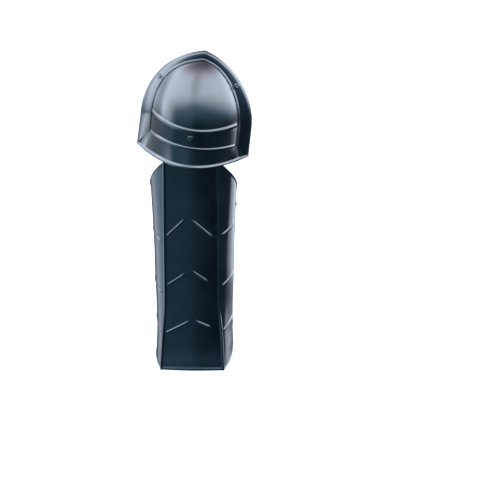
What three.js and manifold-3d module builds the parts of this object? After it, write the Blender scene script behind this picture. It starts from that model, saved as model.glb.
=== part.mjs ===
// A guard for the lower leg, moulded in glossy plastic: a domed knee cup over a long shin plate,
// joined by a short strap of webbing and worn with three strap loops that close behind the leg.
// Millimetres, +Z up along the leg, the shin faces -Y. The origin lies on the leg's axis, in the
// middle of the shin plate's hollow.

import * as THREE from 'three';
import { mergeVertices } from 'three/addons/utils/BufferGeometryUtils.js';
import Module from 'manifold-3d';

const wasm = await Module();
wasm.setup();

// Knee cup, in its own frame: its foot line joins the two lower corners at z = 0.
const CUP_WIDTH = 174.4;
const CUP_HEIGHT = 153.6;
const CUP_WALL = 2.5;
const CUP_SHOULDER = 45;
const CUP_LEAN = 3.4;
const TIP_SHIFT = 3.4;
const CUP_RIM_DIP = 18.3;
const CUP_RIM_DEPTH = 61;
const CUP_CORNER_BACK = 14;
const DOME_WIDTH = 135.1;
const DOME_HEIGHT = 138.3;
const DOME_DEPTH = 60;
const KEEL_HEIGHT = 2;
const DOME_ARCH_PAST = 20.9;
const FLANGE_ARCH_PAST = 25.1;
const FLANGE_SWEEP = { left: 22, right: 12.5 };
const FLANGE_APEX_SWEEP = 1;
const FLANGE_CROWN = 1.2;
const BEAD_WIDTH = 5;
const BEAD_HEIGHT = 2.2;
const UPPER_RIDGE_Z = 51.8;
const UPPER_RIDGE_DIP = 15.3;
const UPPER_RIDGE_WIDTH = 5;
const UPPER_RIDGE_HEIGHT = 2;
const LOWER_RIDGE_Z = 19.8;
const LOWER_RIDGE_DIP = 9.8;
const LOWER_RIDGE_WIDTH = 3.6;
const LOWER_RIDGE_HEIGHT = 1.2;
const RIDGE_SKEW = 3.2;
const RIM_ROLL_WIDTH = 4.5;
const RIM_ROLL_HEIGHT = 1.8;
const CUP_RIDGE_END = 0.94;
const RIM_ROLL_END = 1.97;

// Shares that give the cup's surfaces their fullness: 0.5 is round, less is squarer.
const DOME_ARCH_POWER = 0.4;
const FLANGE_ARCH_POWER = 0.5;
const DOME_POWER = 0.8;
const SKIRT_POWER = 1.25;
const BAND_SETBACK = 0.04;
const KEEL_SPREAD = 0.22;
const RIM_SHARE_UNDER_DOME = 0.83;
const BEAD_LEAN = 0.45;
const TIP_POWER = 8;

// Shin plate: a shallow centre panel between two creases, and a wing on each side.
const PLATE_HEIGHT = 342;
const PLATE_BELOW_ORIGIN = 170;
const PLATE_WALL = 2.5;
const PLATE_WIDTH = 134.6;
const PANEL_WIDTH = 84;
const PANEL_BULGE = 4.5;
const PANEL_POWER = 1.7;
const SHIN_DEPTH = 58;
const WING_DEPTH = 58;
const WING_START = THREE.MathUtils.degToRad(30);
const WING_END = THREE.MathUtils.degToRad(105);
const FOOT_FLARE = 7;
const PANEL_TOP_CROWN = 15;
const SHOULDER_DROP = 51;
const HEEL_RISE = 24;
const CREASE_WIDTH = 5;
const CREASE_HEIGHT = 1.8;
const LIP_WIDTH = 5.5;
const LIP_HEIGHT = 2.2;
const LIP_MIDDLE = 3;
const LIP_END = 0.97;
const CREASE_INSET = 0.004;
const RIB_WIDTH = 4.2;
const RIB_HEIGHT = 2.2;
const RIB_TAPER = 0.8;
const PLATE_BOTTOM_Z = -PLATE_BELOW_ORIGIN;
const PLATE_TOP_Z = PLATE_BOTTOM_Z + PLATE_HEIGHT;
const CREASE_Y = -SHIN_DEPTH;

// Where the cup sits on the leg: its foot laps the plate's top, and it hangs a little turned.
const CUP_LAP = 2;
const CUP_SETBACK = 29;
const CUP_SHIFT = 1.2;
const CUP_ROLL = THREE.MathUtils.degToRad(6.5);

// Straps of woven webbing, their clasps and rivets.
const STRAP_THICKNESS = 2;
const KNEE_STRAP_WIDTH = 22;
const KNEE_STRAP_REACH = 98;
const KNEE_STRAP_DROP = 8;
const KNEE_RIVET_ANGLE = THREE.MathUtils.degToRad(37.2);
const CALF_STRAP_WIDTH = 25;
const CALF_STRAP_REACH = 68;
const UPPER_CALF_BELOW_TOP = 88;
const LOWER_CALF_ABOVE_BOTTOM = 66;
const UPPER_CALF_Z = PLATE_TOP_Z - UPPER_CALF_BELOW_TOP;
const LOWER_CALF_Z = PLATE_BOTTOM_Z + LOWER_CALF_ABOVE_BOTTOM;
const LINK_WIDTH = 24;
const LINK_TOP = 36;
const LINK_FOOT = 18;
const LINK_RIVET_Z = 24.6;
const LINK_INSET = 4;
const LINK_LAP = 18;
const LINK_PLATE_TOP_Z = PLATE_TOP_Z - LINK_INSET;
const LINK_PLATE_FOOT_Z = LINK_PLATE_TOP_Z - LINK_LAP;
const CLASP_LENGTH = 34;
const CLASP_WALL = 3;
const CLASP_CORNER = 1.8;
const RIVET_HEAD_RADIUS = 4.2;
const RIVET_HEAD_HEIGHT = 1.8;
const RIVET_SHANK_RADIUS = 2;
const RIVET_TAIL_THICKNESS = 1;
const RIVET_PLAY = 0.5;
const RIVET_TAIL_SHARE = 0.9;
const KNEE_RIVET_ACROSS = 1.5;
const CALF_RIVET_ACROSS = 1.89;
const GAP = 0.3;
const SLIVER = 0.03;
const BAR_SINK = 0.6;
const RIM_SINK = 0.9;
const DRILL_REACH = 12;
const ROUND_SIDES = 12;
const FINE_STEP = 0.01;

// Height rows of the shin plate. at: share of the plate's height; panel and outline: shares of
// PANEL_WIDTH and PLATE_WIDTH; flare: share of FOOT_FLARE that the row stands forward.
const PLATE_ROWS = [
  { at: 0.0, panel: 1.16, outline: 0.905, flare: 1.0 },
  { at: 0.09, panel: 1.12, outline: 0.895, flare: 0.42 },
  { at: 0.17, panel: 1.08, outline: 0.88, flare: 0.14 },
  { at: 0.28, panel: 1.01, outline: 0.888, flare: 0.0 },
  { at: 0.4, panel: 1.0, outline: 0.912, flare: 0.0 },
  { at: 0.53, panel: 1.0, outline: 0.925, flare: 0.0 },
  { at: 0.64, panel: 1.0, outline: 0.946, flare: 0.0 },
  { at: 0.77, panel: 0.995, outline: 0.978, flare: 0.0 },
  { at: 0.85, panel: 0.99, outline: 1.0, flare: 0.05 },
  { at: 1.0, panel: 0.985, outline: 1.02, flare: 0.3 },
];

// Raised ribs on the plate, three rows of them from the top down: one on the left wing, the two arms
// of a chevron on the panel and one on the right wing. from, to: places across the plate; foot and
// rise: shares of PLATE_HEIGHT for the height where a rib starts and its rise to its other end.
const PLATE_RIBS = [
  { from: -1.1, to: -1.78, foot: 0.587, rise: 0.057 },
  { from: -0.97, to: -0.22, foot: 0.61, rise: 0.088 },
  { from: 0.81, to: -0.01, foot: 0.61, rise: 0.086 },
  { from: 1.04, to: 1.78, foot: 0.618, rise: 0.058 },
  { from: -1.1, to: -1.78, foot: 0.349, rise: 0.065 },
  { from: -0.95, to: -0.22, foot: 0.388, rise: 0.061 },
  { from: 0.62, to: -0.01, foot: 0.408, rise: 0.054 },
  { from: 1.04, to: 1.78, foot: 0.383, rise: 0.06 },
  { from: -1.1, to: -1.78, foot: 0.17, rise: 0.069 },
  { from: -0.97, to: -0.06, foot: 0.166, rise: 0.064 },
  { from: 0.67, to: 0.115, foot: 0.198, rise: 0.032 },
  { from: 1.04, to: 1.78, foot: 0.178, rise: 0.053 },
];

// Half of the knee strap behind the flange. out: share of the flange's half width there; back: share
// of KNEE_STRAP_REACH; tilt: how far the webbing still leans with the arch; down: share of the drop.
const KNEE_STRAP_ROWS = [
  { out: 0.94, back: 0.34, tilt: 0.9, down: 0.35 },
  { out: 0.95, back: 0.52, tilt: 0.5, down: 0.6 },
  { out: 0.91, back: 0.7, tilt: 0.15, down: 0.8 },
  { out: 0.78, back: 0.87, tilt: 0.0, down: 0.9 },
  { out: 0.56, back: 0.97, tilt: 0.0, down: 1.0 },
  { out: 0.36, back: 1.0, tilt: 0.0, down: 1.0 },
];

// Places across the flange and the wings where the straps' flat tongues lie.
const KNEE_TONGUE = [1.14, 1.5, 1.96];
const CALF_TONGUE = [1.72, 1.8, 1.9, 1.99];

// Half of a calf strap behind the wing. out: share of the wing's half width at its back edge; back:
// share of CALF_STRAP_REACH.
const CALF_STRAP_ROWS = [
  { out: 0.985, back: 0.2 },
  { out: 0.93, back: 0.42 },
  { out: 0.82, back: 0.64 },
  { out: 0.66, back: 0.83 },
  { out: 0.48, back: 0.96 },
  { out: 0.34, back: 1.0 },
];

const plastic = new THREE.MeshStandardMaterial({ color: 0x0d151b, roughness: 0.14, metalness: 0 });
const webbing = new THREE.MeshStandardMaterial({ color: 0x0c0c0e, roughness: 0.9, metalness: 0 });
const dullPlastic = new THREE.MeshStandardMaterial({ color: 0x0b0c0e, roughness: 0.5, metalness: 0 });
const darkSteel = new THREE.MeshStandardMaterial({ color: 0x1c2126, roughness: 0.35, metalness: 0.9 });

const vec = (x, y, z) => new THREE.Vector3(x, y, z);
const lerp = THREE.MathUtils.lerp;

function steps(from, to, count) {
  return Array.from({ length: count + 1 }, (_, i) => lerp(from, to, i / count));
}

// Smooth value of one column of a table whose rows are ordered by their `at`.
function column(table, name, at) {
  const last = table.length - 1;
  const k = Math.min(Math.max(table.findIndex((row) => row.at > at) - 1, 0), last - 1);
  const i = at >= table[last].at ? last - 1 : k;
  const value = (j) => table[Math.min(Math.max(j, 0), last)][name];
  const t = THREE.MathUtils.clamp((at - table[i].at) / (table[i + 1].at - table[i].at), 0, 1);
  const slope = (j) => (value(j + 1) - value(j - 1)) / 2;
  const a = value(i);
  const b = value(i + 1);
  const s = t * t * (3 - 2 * t);
  return a + (b - a) * s + slope(i) * t * (1 - t) ** 2 - slope(i + 1) * t * t * (1 - t);
}

// Knee cup surface. A row is named by the height of its end on the dome's edge, and `across` runs
// from -2 to 2: the dome lies within 1, the flange beyond it. The arch leans a little to one side up
// to its shoulders and comes back to its tip, and the ridges run a little down to the other side.

// Half width of a pointed arch at the share `sine` of its height. Its sides would only meet `past`
// beyond the middle, so they cross at a point.
function archHalf(halfWidth, past, power, sine) {
  const full = halfWidth + past;
  const closing = 1 - (past / full) ** (1 / power);
  return full * (1 - closing * sine * sine) ** power - past;
}

function domeEdge(edgeZ) {
  const sine = THREE.MathUtils.clamp((edgeZ - CUP_SHOULDER) / (DOME_HEIGHT - CUP_SHOULDER), 0, 1);
  return { x: archHalf(DOME_WIDTH / 2, DOME_ARCH_PAST, DOME_ARCH_POWER, sine), z: edgeZ, sine };
}

function flangeEdge(edgeZ) {
  const { sine } = domeEdge(edgeZ);
  const x = archHalf(CUP_WIDTH / 2, FLANGE_ARCH_PAST, FLANGE_ARCH_POWER, sine);
  if (sine > 0) return { x, z: lerp(CUP_SHOULDER, CUP_HEIGHT, sine) };
  return { x, z: (CUP_SHOULDER * (edgeZ - LOWER_RIDGE_Z)) / (CUP_SHOULDER - LOWER_RIDGE_Z) };
}

function rowDip(edgeZ) {
  if (edgeZ < UPPER_RIDGE_Z) {
    const t = (edgeZ - LOWER_RIDGE_Z) / (UPPER_RIDGE_Z - LOWER_RIDGE_Z);
    return lerp(LOWER_RIDGE_DIP, UPPER_RIDGE_DIP, t);
  }
  return (UPPER_RIDGE_DIP * (DOME_HEIGHT - edgeZ)) / (DOME_HEIGHT - UPPER_RIDGE_Z);
}

function cupPoint(edgeZ, across) {
  const side = Math.sign(across) || 1;
  const s = Math.abs(across);
  const inner = domeEdge(edgeZ);
  const shift = (CUP_LEAN + TIP_SHIFT) * inner.sine ** TIP_POWER - CUP_LEAN * inner.sine;
  const skew = side * RIDGE_SKEW * Math.min((DOME_HEIGHT - edgeZ) / (DOME_HEIGHT - UPPER_RIDGE_Z), 1);
  if (s <= 1) {
    const rise = Math.max((edgeZ - UPPER_RIDGE_Z) / (DOME_HEIGHT - UPPER_RIDGE_Z), 0);
    const swell = ((1 - s * s) * (1 - rise * rise)) ** DOME_POWER;
    const fall = Math.max((UPPER_RIDGE_Z - edgeZ) / (UPPER_RIDGE_Z - LOWER_RIDGE_Z), 0);
    const depth = DOME_DEPTH * (1 - BAND_SETBACK * fall) * swell;
    const keel = KEEL_HEIGHT * rise * swell * Math.exp(-((s / KEEL_SPREAD) ** 2));
    const z = edgeZ - rowDip(edgeZ) * (1 - s * s) - skew * s;
    return vec(side * inner.x * s + shift, -depth - keel, z);
  }
  const outer = flangeEdge(edgeZ);
  const f = s - 1;
  const corner = edgeZ < CUP_SHOULDER ? (CUP_SHOULDER - edgeZ) / (CUP_SHOULDER - LOWER_RIDGE_Z) : 0;
  const shoulderSweep = side < 0 ? FLANGE_SWEEP.left : FLANGE_SWEEP.right;
  const sweep = lerp(shoulderSweep, FLANGE_APEX_SWEEP, inner.sine ** 2);
  const y = lerp(sweep, CUP_CORNER_BACK, corner) * f - FLANGE_CROWN * 4 * f * (1 - f);
  return vec(side * lerp(inner.x, outer.x, f) + shift, y, lerp(inner.z - skew, outer.z, f));
}

// The skirt hangs from the lower ridge and the mitres to the rolled bottom rim, drop 0 to 1.
function rimPoint(across) {
  const side = Math.sign(across) || 1;
  const s = Math.abs(across);
  const share = s <= 1 ? RIM_SHARE_UNDER_DOME * s : lerp(RIM_SHARE_UNDER_DOME, 1, s - 1);
  const x = (CUP_WIDTH / 2) * share;
  const inside = 1 - (x / (CUP_WIDTH / 2)) ** 2;
  const y = CUP_CORNER_BACK - (CUP_RIM_DEPTH + CUP_CORNER_BACK) * inside ** SKIRT_POWER;
  return vec(side * x, y, -CUP_RIM_DIP * inside);
}

function skirtPoint(drop, across) {
  return cupPoint(LOWER_RIDGE_Z, across).lerp(rimPoint(across), drop);
}

// Shin plate surface: up from 0 to 1 between the bottom and top edges, across from -2 to 2, with
// the panel within 1 and the wings beyond it.
function plateAt(z, across) {
  const side = Math.sign(across) || 1;
  const s = Math.abs(across);
  const share = (z - PLATE_BOTTOM_Z) / PLATE_HEIGHT;
  const panel = (PANEL_WIDTH / 2) * column(PLATE_ROWS, 'panel', share);
  const outline = (PLATE_WIDTH / 2) * column(PLATE_ROWS, 'outline', share);
  const creaseY = CREASE_Y - FOOT_FLARE * column(PLATE_ROWS, 'flare', share);
  if (s <= 1) return vec(side * panel * s, creaseY - PANEL_BULGE * (1 - s ** PANEL_POWER), z);
  const angle = lerp(WING_START, WING_END, s - 1);
  const reach = (Math.sin(angle) - Math.sin(WING_START)) / (1 - Math.sin(WING_START));
  const sweep = (Math.cos(WING_START) - Math.cos(angle)) / (Math.cos(WING_START) - Math.cos(WING_END));
  return vec(side * lerp(panel, outline, reach), lerp(creaseY, CREASE_Y + WING_DEPTH, sweep), z);
}

function plateZ(up, across) {
  const s = Math.abs(across);
  const top = PLATE_TOP_Z - PANEL_TOP_CROWN * Math.min(s, 1) ** 2;
  const wing = Math.max(s - 1, 0);
  return lerp(PLATE_BOTTOM_Z + HEEL_RISE * wing, top - SHOULDER_DROP * wing, up);
}

// Outward normal of a surface given as point = surface(u, v), u rising with height.
function normalOf(surface, u, v, du = 0.05, dv = 0.002) {
  const alongU = surface(u + du, v).sub(surface(u - du, v));
  const alongV = surface(u, v + dv).sub(surface(u, v - dv));
  return alongV.cross(alongU).normalize();
}

// Solids: a grid of points thickened towards the leg, and a loft through closed rings.
function weldedGrid(rows) {
  const points = [];
  const seen = new Map();
  const index = rows.map((row) => row.map((p) => {
    const key = [p.x, p.y, p.z].map((value) => Math.round(value * 1000)).join();
    if (!seen.has(key)) seen.set(key, points.push(p) - 1);
    return seen.get(key);
  }));
  const triangles = [];
  const keep = (a, b, c) => {
    if (a !== b && b !== c && c !== a) triangles.push([a, b, c]);
  };
  for (let r = 0; r + 1 < rows.length; r += 1) {
    for (let c = 0; c + 1 < rows[r].length; c += 1) {
      keep(index[r][c], index[r][c + 1], index[r + 1][c + 1]);
      keep(index[r][c], index[r + 1][c + 1], index[r + 1][c]);
    }
  }
  return { points, triangles };
}

function shell(rows, wall) {
  const { points, triangles } = weldedGrid(rows);
  const normals = points.map(() => vec(0, 0, 0));
  const edges = new Map();
  for (const [a, b, c] of triangles) {
    const n = points[b].clone().sub(points[a]).cross(points[c].clone().sub(points[a]));
    [a, b, c].forEach((i) => normals[i].add(n));
    [[a, b], [b, c], [c, a]].forEach(([i, j]) => edges.set(`${i},${j}`, [i, j]));
  }
  const inner = points.map((p, i) => p.clone().addScaledVector(normals[i].normalize(), -wall));
  const shift = points.length;
  const faces = [...triangles, ...triangles.map(([a, b, c]) => [a + shift, c + shift, b + shift])];
  for (const [i, j] of edges.values()) {
    if (!edges.has(`${j},${i}`)) faces.push([i, i + shift, j + shift], [i, j + shift, j]);
  }
  return geometryOf([...points, ...inner], faces);
}

function loft(rings) {
  const size = rings[0].length;
  const faces = [];
  rings.slice(1).forEach((_, r) => {
    for (let i = 0; i < size; i += 1) {
      const a = r * size + i;
      const b = r * size + ((i + 1) % size);
      faces.push([a, b, b + size], [a, b + size, a + size]);
    }
  });
  const end = (rings.length - 1) * size;
  for (let i = 0, j = size - 1; i + 1 < j; i += 1, j -= 1) {
    faces.push([i, j, i + 1], [i + end, i + 1 + end, j + end]);
    if (i + 1 < j - 1) faces.push([i + 1, j, j - 1], [i + 1 + end, j - 1 + end, j + end]);
  }
  return geometryOf(rings.flat(), faces);
}

function geometryOf(points, faces) {
  const geometry = new THREE.BufferGeometry();
  const places = points.flatMap((p) => p.toArray());
  geometry.setAttribute('position', new THREE.Float32BufferAttribute(places, 3));
  geometry.setIndex(faces.flat());
  return geometry;
}

function toSolid(source) {
  const bare = source.clone();
  bare.deleteAttribute('normal');
  bare.deleteAttribute('uv');
  const welded = mergeVertices(bare, 1e-4);
  const vertProperties = new Float32Array(welded.attributes.position.array);
  const solid = new wasm.Manifold(new wasm.Mesh({
    numProp: 3, vertProperties, triVerts: new Uint32Array(welded.index.array),
  }));
  if (solid.volume() > 0) return solid;
  const turned = new Uint32Array(welded.index.array).reverse();
  return new wasm.Manifold(new wasm.Mesh({ numProp: 3, vertProperties, triVerts: turned }));
}

// The joins leave slivers along the bars' feet: edges below SLIVER are closed up.
function fromSolid(solid) {
  const mesh = solid.asOriginal().simplify(SLIVER).getMesh();
  const geometry = new THREE.BufferGeometry();
  geometry.setAttribute('position', new THREE.Float32BufferAttribute(mesh.vertProperties, 3));
  geometry.setIndex([...mesh.triVerts]);
  geometry.computeVertexNormals();
  return geometry;
}

// A raised bar along a path of {point, normal} on a surface, narrowing to its ends where `taper`
// is more than 0, with its foot sunk in the wall. Its top is round, from shoulder to shoulder.
const BAR_SHOULDER = { across: 0.28, lift: 0.8 };
const BAR_TAPER_RATE = 5;
const BAR_LEAST_WIDTH = 0.4;

function bar(path, width, height, sink, taper = 0) {
  const rings = path.map(({ point, normal }, i) => {
    const before = path[Math.max(i - 1, 0)].point;
    const after = path[Math.min(i + 1, path.length - 1)].point;
    const run = after.clone().sub(before).normalize();
    const side = run.clone().cross(normal).normalize();
    const t = i / (path.length - 1);
    const full = 1 - taper + taper * Math.min(1, BAR_TAPER_RATE * t, BAR_TAPER_RATE * (1 - t));
    const wide = width * Math.max(full, BAR_LEAST_WIDTH);
    const top = height * full;
    const at = (across, lift) => point.clone()
      .addScaledVector(side, across * wide).addScaledVector(normal, lift);
    return [
      at(-0.5, -sink), at(-0.5, 0), at(-BAR_SHOULDER.across, BAR_SHOULDER.lift * top), at(0, top),
      at(BAR_SHOULDER.across, BAR_SHOULDER.lift * top), at(0.5, 0), at(0.5, -sink),
    ];
  });
  return toSolid(loft(rings));
}

function surfacePath(surface, uvs) {
  return uvs.map(([u, v]) => ({ point: surface(u, v), normal: normalOf(surface, u, v) }));
}

// A round hole through a wall, along the axis of a rivet.
function pierce(solid, { point, normal }, radius) {
  const drill = new THREE.CylinderGeometry(radius, radius, DRILL_REACH, ROUND_SIDES);
  drill.applyQuaternion(new THREE.Quaternion().setFromUnitVectors(vec(0, 1, 0), normal));
  drill.translate(point.x, point.y, point.z);
  return solid.subtract(toSolid(drill));
}

const HOLE_RADIUS = RIVET_SHANK_RADIUS + GAP;

// Knee cup.
const SKIRT_DROPS = [1, 0.66, 0.33];
const BAND_ROWS = steps(LOWER_RIDGE_Z, UPPER_RIDGE_Z, 3).slice(0, 3);
const RIDGE_ANGLE = Math.asin((UPPER_RIDGE_Z - CUP_SHOULDER) / (DOME_HEIGHT - CUP_SHOULDER));
const DOME_ROWS = steps(RIDGE_ANGLE, Math.PI / 2, 11).map(archZ);
const DOME_COLUMNS = [...steps(0, 0.8, 5), 0.9, 0.96];
const HALF_COLUMNS = [...DOME_COLUMNS, 1, 1.35, 1.7, 2];
const CUP_COLUMNS = [...HALF_COLUMNS.slice(1).reverse().map((s) => -s), ...HALF_COLUMNS];

function archZ(angle) {
  return CUP_SHOULDER + (DOME_HEIGHT - CUP_SHOULDER) * Math.sin(angle);
}

function flangeSpot(angle, across) {
  return cupPoint(archZ(angle), across);
}

function flangePlace(angle, across) {
  const normal = normalOf(flangeSpot, angle, across, FINE_STEP, FINE_STEP);
  return { point: flangeSpot(angle, across), normal };
}

function kneeRivetSpot(side) {
  return flangePlace(KNEE_RIVET_ANGLE, side * KNEE_RIVET_ACROSS);
}

// The row whose middle lies at a height on the band, between the two ridges.
function bandRow(middleZ) {
  const low = LOWER_RIDGE_Z - LOWER_RIDGE_DIP;
  const high = UPPER_RIDGE_Z - UPPER_RIDGE_DIP;
  return lerp(LOWER_RIDGE_Z, UPPER_RIDGE_Z, (middleZ - low) / (high - low));
}

const linkCupSpot = (() => {
  const edgeZ = bandRow(LINK_RIVET_Z);
  return { point: cupPoint(edgeZ, 0), normal: normalOf(cupPoint, edgeZ, 0) };
})();

function beadPath() {
  const lower = steps(LOWER_RIDGE_Z, CUP_SHOULDER, 2).slice(0, 2);
  const upper = steps(0, Math.PI / 2, 12).map(archZ);
  const half = (side) => [...lower, ...upper].map((edgeZ) => {
    const point = cupPoint(edgeZ, side);
    const out = cupPoint(edgeZ, 2 * side).sub(point);
    const radial = vec(out.x, 0, out.z).normalize();
    return { point, normal: radial.multiplyScalar(BEAD_LEAN).add(vec(0, -1, 0)).normalize() };
  });
  return [...half(-1).slice(0, -1), ...half(1).reverse()];
}

// The rolled rim follows the skirt's bottom edge, its normals level and square to the edge.
function rimPath() {
  return steps(-RIM_ROLL_END, RIM_ROLL_END, 24).map((s) => {
    const run = rimPoint(s + FINE_STEP).sub(rimPoint(s - FINE_STEP));
    return { point: rimPoint(s), normal: vec(run.y, -run.x, 0).normalize() };
  });
}

function buildKneeCup() {
  const rows = [
    ...SKIRT_DROPS.map((drop) => CUP_COLUMNS.map((s) => skirtPoint(drop, s))),
    ...[...BAND_ROWS, ...DOME_ROWS].map((edgeZ) => CUP_COLUMNS.map((s) => cupPoint(edgeZ, s))),
  ];
  const across = steps(-CUP_RIDGE_END, CUP_RIDGE_END, 14);
  const sink = CUP_WALL * BAR_SINK;
  let cup = toSolid(shell(rows, CUP_WALL))
    .add(bar(beadPath(), BEAD_WIDTH, BEAD_HEIGHT, sink))
    .add(bar(surfacePath(cupPoint, across.map((s) => [UPPER_RIDGE_Z, s])),
      UPPER_RIDGE_WIDTH, UPPER_RIDGE_HEIGHT, sink))
    .add(bar(surfacePath(cupPoint, across.map((s) => [LOWER_RIDGE_Z, s])),
      LOWER_RIDGE_WIDTH, LOWER_RIDGE_HEIGHT, sink))
    .add(bar(rimPath(), RIM_ROLL_WIDTH, RIM_ROLL_HEIGHT, CUP_WALL * RIM_SINK));
  for (const spot of [kneeRivetSpot(-1), kneeRivetSpot(1), linkCupSpot]) {
    cup = pierce(cup, spot, HOLE_RADIUS);
  }
  return cup;
}

// Shin plate.
const PLATE_COLUMNS = (() => {
  const half = [...steps(0, 1, 4), ...steps(1, 2, 7).slice(1)];
  return [...half.slice(1).reverse().map((s) => -s), ...half];
})();

function platePoint(up, across) {
  return plateAt(plateZ(up, across), across);
}

function calfRivetSpot(z, side) {
  const across = side * CALF_RIVET_ACROSS;
  return { point: plateAt(z, across), normal: normalOf(plateAt, z, across) };
}

const linkPlateSpot = (() => {
  const z = (LINK_PLATE_TOP_Z + LINK_PLATE_FOOT_Z) / 2;
  return { point: plateAt(z, 0), normal: normalOf(plateAt, z, 0) };
})();

function buildShinPlate() {
  const rows = steps(0, 1, 19).map((up) => PLATE_COLUMNS.map((s) => platePoint(up, s)));
  const sink = PLATE_WALL * BAR_SINK;
  let plate = toSolid(shell(rows, PLATE_WALL));
  for (const side of [-1, 1]) {
    const crease = steps(CREASE_INSET, 1 - CREASE_INSET, 12).map((up) => [plateZ(up, 1), side]);
    plate = plate.add(bar(surfacePath(plateAt, crease), CREASE_WIDTH, CREASE_HEIGHT, sink));
  }
  for (const { from, to, foot, rise } of PLATE_RIBS) {
    const rib = steps(0, 1, 6).map((t) => [
      PLATE_BOTTOM_Z + PLATE_HEIGHT * (foot + rise * t), lerp(from, to, t)]);
    plate = plate.add(bar(surfacePath(plateAt, rib), RIB_WIDTH, RIB_HEIGHT, sink, RIB_TAPER));
  }
  const lip = steps(-LIP_END, LIP_END, 10).map((s) => [PLATE_BOTTOM_Z + LIP_MIDDLE, s]);
  plate = plate.add(bar(surfacePath(plateAt, lip), LIP_WIDTH, LIP_HEIGHT, sink));
  plate = pierce(plate, linkPlateSpot, HOLE_RADIUS);
  for (const z of [UPPER_CALF_Z, LOWER_CALF_Z]) {
    for (const side of [-1, 1]) plate = pierce(plate, calfRivetSpot(z, side), HOLE_RADIUS);
  }
  return plate;
}

// A section of webbing: `faces` gives the outer and inner point at each place across the width.
function webbingRing(faces) {
  return [...faces.map(([outer]) => outer), ...faces.map(([, inner]) => inner).reverse()];
}

const behind = ({ point, normal }, depth) => point.clone().addScaledVector(normal, -depth);

// Knee strap: two tongues behind the flange, and the loop that joins them behind the thigh.
function kneeStrapHalf(side) {
  const [low, high] = [-0.5, 0.5].map((turn) => flangeSpot(KNEE_RIVET_ANGLE + turn, KNEE_RIVET_ACROSS));
  const halfTurn = KNEE_STRAP_WIDTH / 2 / high.distanceTo(low);
  const angles = steps(KNEE_RIVET_ANGLE - halfTurn, KNEE_RIVET_ANGLE + halfTurn, 4);
  const front = CUP_WALL + GAP;
  const tongue = KNEE_TONGUE.map((s) => webbingRing(angles.map((angle) => {
    const spot = flangePlace(angle, side * s);
    return [behind(spot, front), behind(spot, front + STRAP_THICKNESS)];
  })));
  const edge = flangeSpot(KNEE_RIVET_ANGLE, side * 2);
  const lean = flangeSpot(angles[4], side * 2).sub(flangeSpot(angles[0], side * 2)).normalize();
  const edgeX = edge.x - side * front;
  const centres = KNEE_STRAP_ROWS.map((row) => vec(
    edgeX * row.out, KNEE_STRAP_REACH * row.back, edge.z - KNEE_STRAP_DROP * row.down));
  const loop = centres.map((centre, i) => {
    const before = i ? centres[i - 1] : edge.clone().add(vec(-side * front, front, 0));
    const after = centres[i + 1] || centre.clone().add(vec(-side, 0, 0));
    const run = after.clone().sub(before).normalize();
    const width = vec(0, 0, 1).lerp(lean, KNEE_STRAP_ROWS[i].tilt).normalize();
    const out = width.clone().cross(run).multiplyScalar(-side).normalize();
    return webbingRing(steps(-0.5, 0.5, 4).map((t) => {
      const mid = centre.clone().addScaledVector(width, t * KNEE_STRAP_WIDTH);
      const half = out.clone().multiplyScalar(STRAP_THICKNESS / 2);
      return [mid.clone().add(half), mid.sub(half)];
    }));
  });
  return [...tongue, ...loop];
}

function buildKneeStrap() {
  let strap = toSolid(loft([...kneeStrapHalf(-1), ...kneeStrapHalf(1).reverse()]));
  for (const side of [-1, 1]) strap = pierce(strap, kneeRivetSpot(side), HOLE_RADIUS);
  return strap;
}

// Calf straps: flat tongues inside the wings' back edges and a loop behind the calf.
function calfStrapPath(z) {
  const narrow = z - CALF_STRAP_WIDTH / 2;
  const wide = z + CALF_STRAP_WIDTH / 2;
  const depth = PLATE_WALL + GAP + STRAP_THICKNESS / 2;
  const tongue = CALF_TONGUE.map((s) => {
    const low = behind({ point: plateAt(narrow, s), normal: normalOf(plateAt, narrow, s) }, depth);
    const high = behind({ point: plateAt(wide, s), normal: normalOf(plateAt, wide, s) }, depth);
    return new THREE.Vector2(Math.min(low.x, high.x), low.y);
  });
  const edge = tongue[tongue.length - 1];
  const loop = CALF_STRAP_ROWS.map((row) => new THREE.Vector2(
    edge.x * row.out, lerp(edge.y, CALF_STRAP_REACH, row.back)));
  const half = [...tongue, ...loop];
  return [...half, ...half.map((p) => new THREE.Vector2(-p.x, p.y)).reverse()];
}

function buildCalfStrap(z) {
  const path = calfStrapPath(z);
  const sideOf = (shift) => path.map((p, i) => {
    const before = path[Math.max(i - 1, 0)];
    const run = path[Math.min(i + 1, path.length - 1)].clone().sub(before).normalize();
    return p.clone().add(new THREE.Vector2(run.y, -run.x).multiplyScalar(shift));
  });
  const half = STRAP_THICKNESS / 2;
  const outline = new THREE.Shape([...sideOf(half), ...sideOf(-half).reverse()]);
  const geometry = new THREE.ExtrudeGeometry(outline, { depth: CALF_STRAP_WIDTH, bevelEnabled: false });
  geometry.translate(0, 0, z - CALF_STRAP_WIDTH / 2);
  let strap = toSolid(geometry);
  for (const side of [-1, 1]) strap = pierce(strap, calfRivetSpot(z, side), HOLE_RADIUS);
  return strap;
}

// Link strap between the back of the cup's band and the front of the plate's top.
const cupPlace = new THREE.Matrix4().compose(
  vec(-CUP_SHIFT, CREASE_Y + CUP_SETBACK, PLATE_TOP_Z - CUP_LAP),
  new THREE.Quaternion().setFromEuler(new THREE.Euler(0, CUP_ROLL, 0)),
  vec(1, 1, 1),
);

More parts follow.
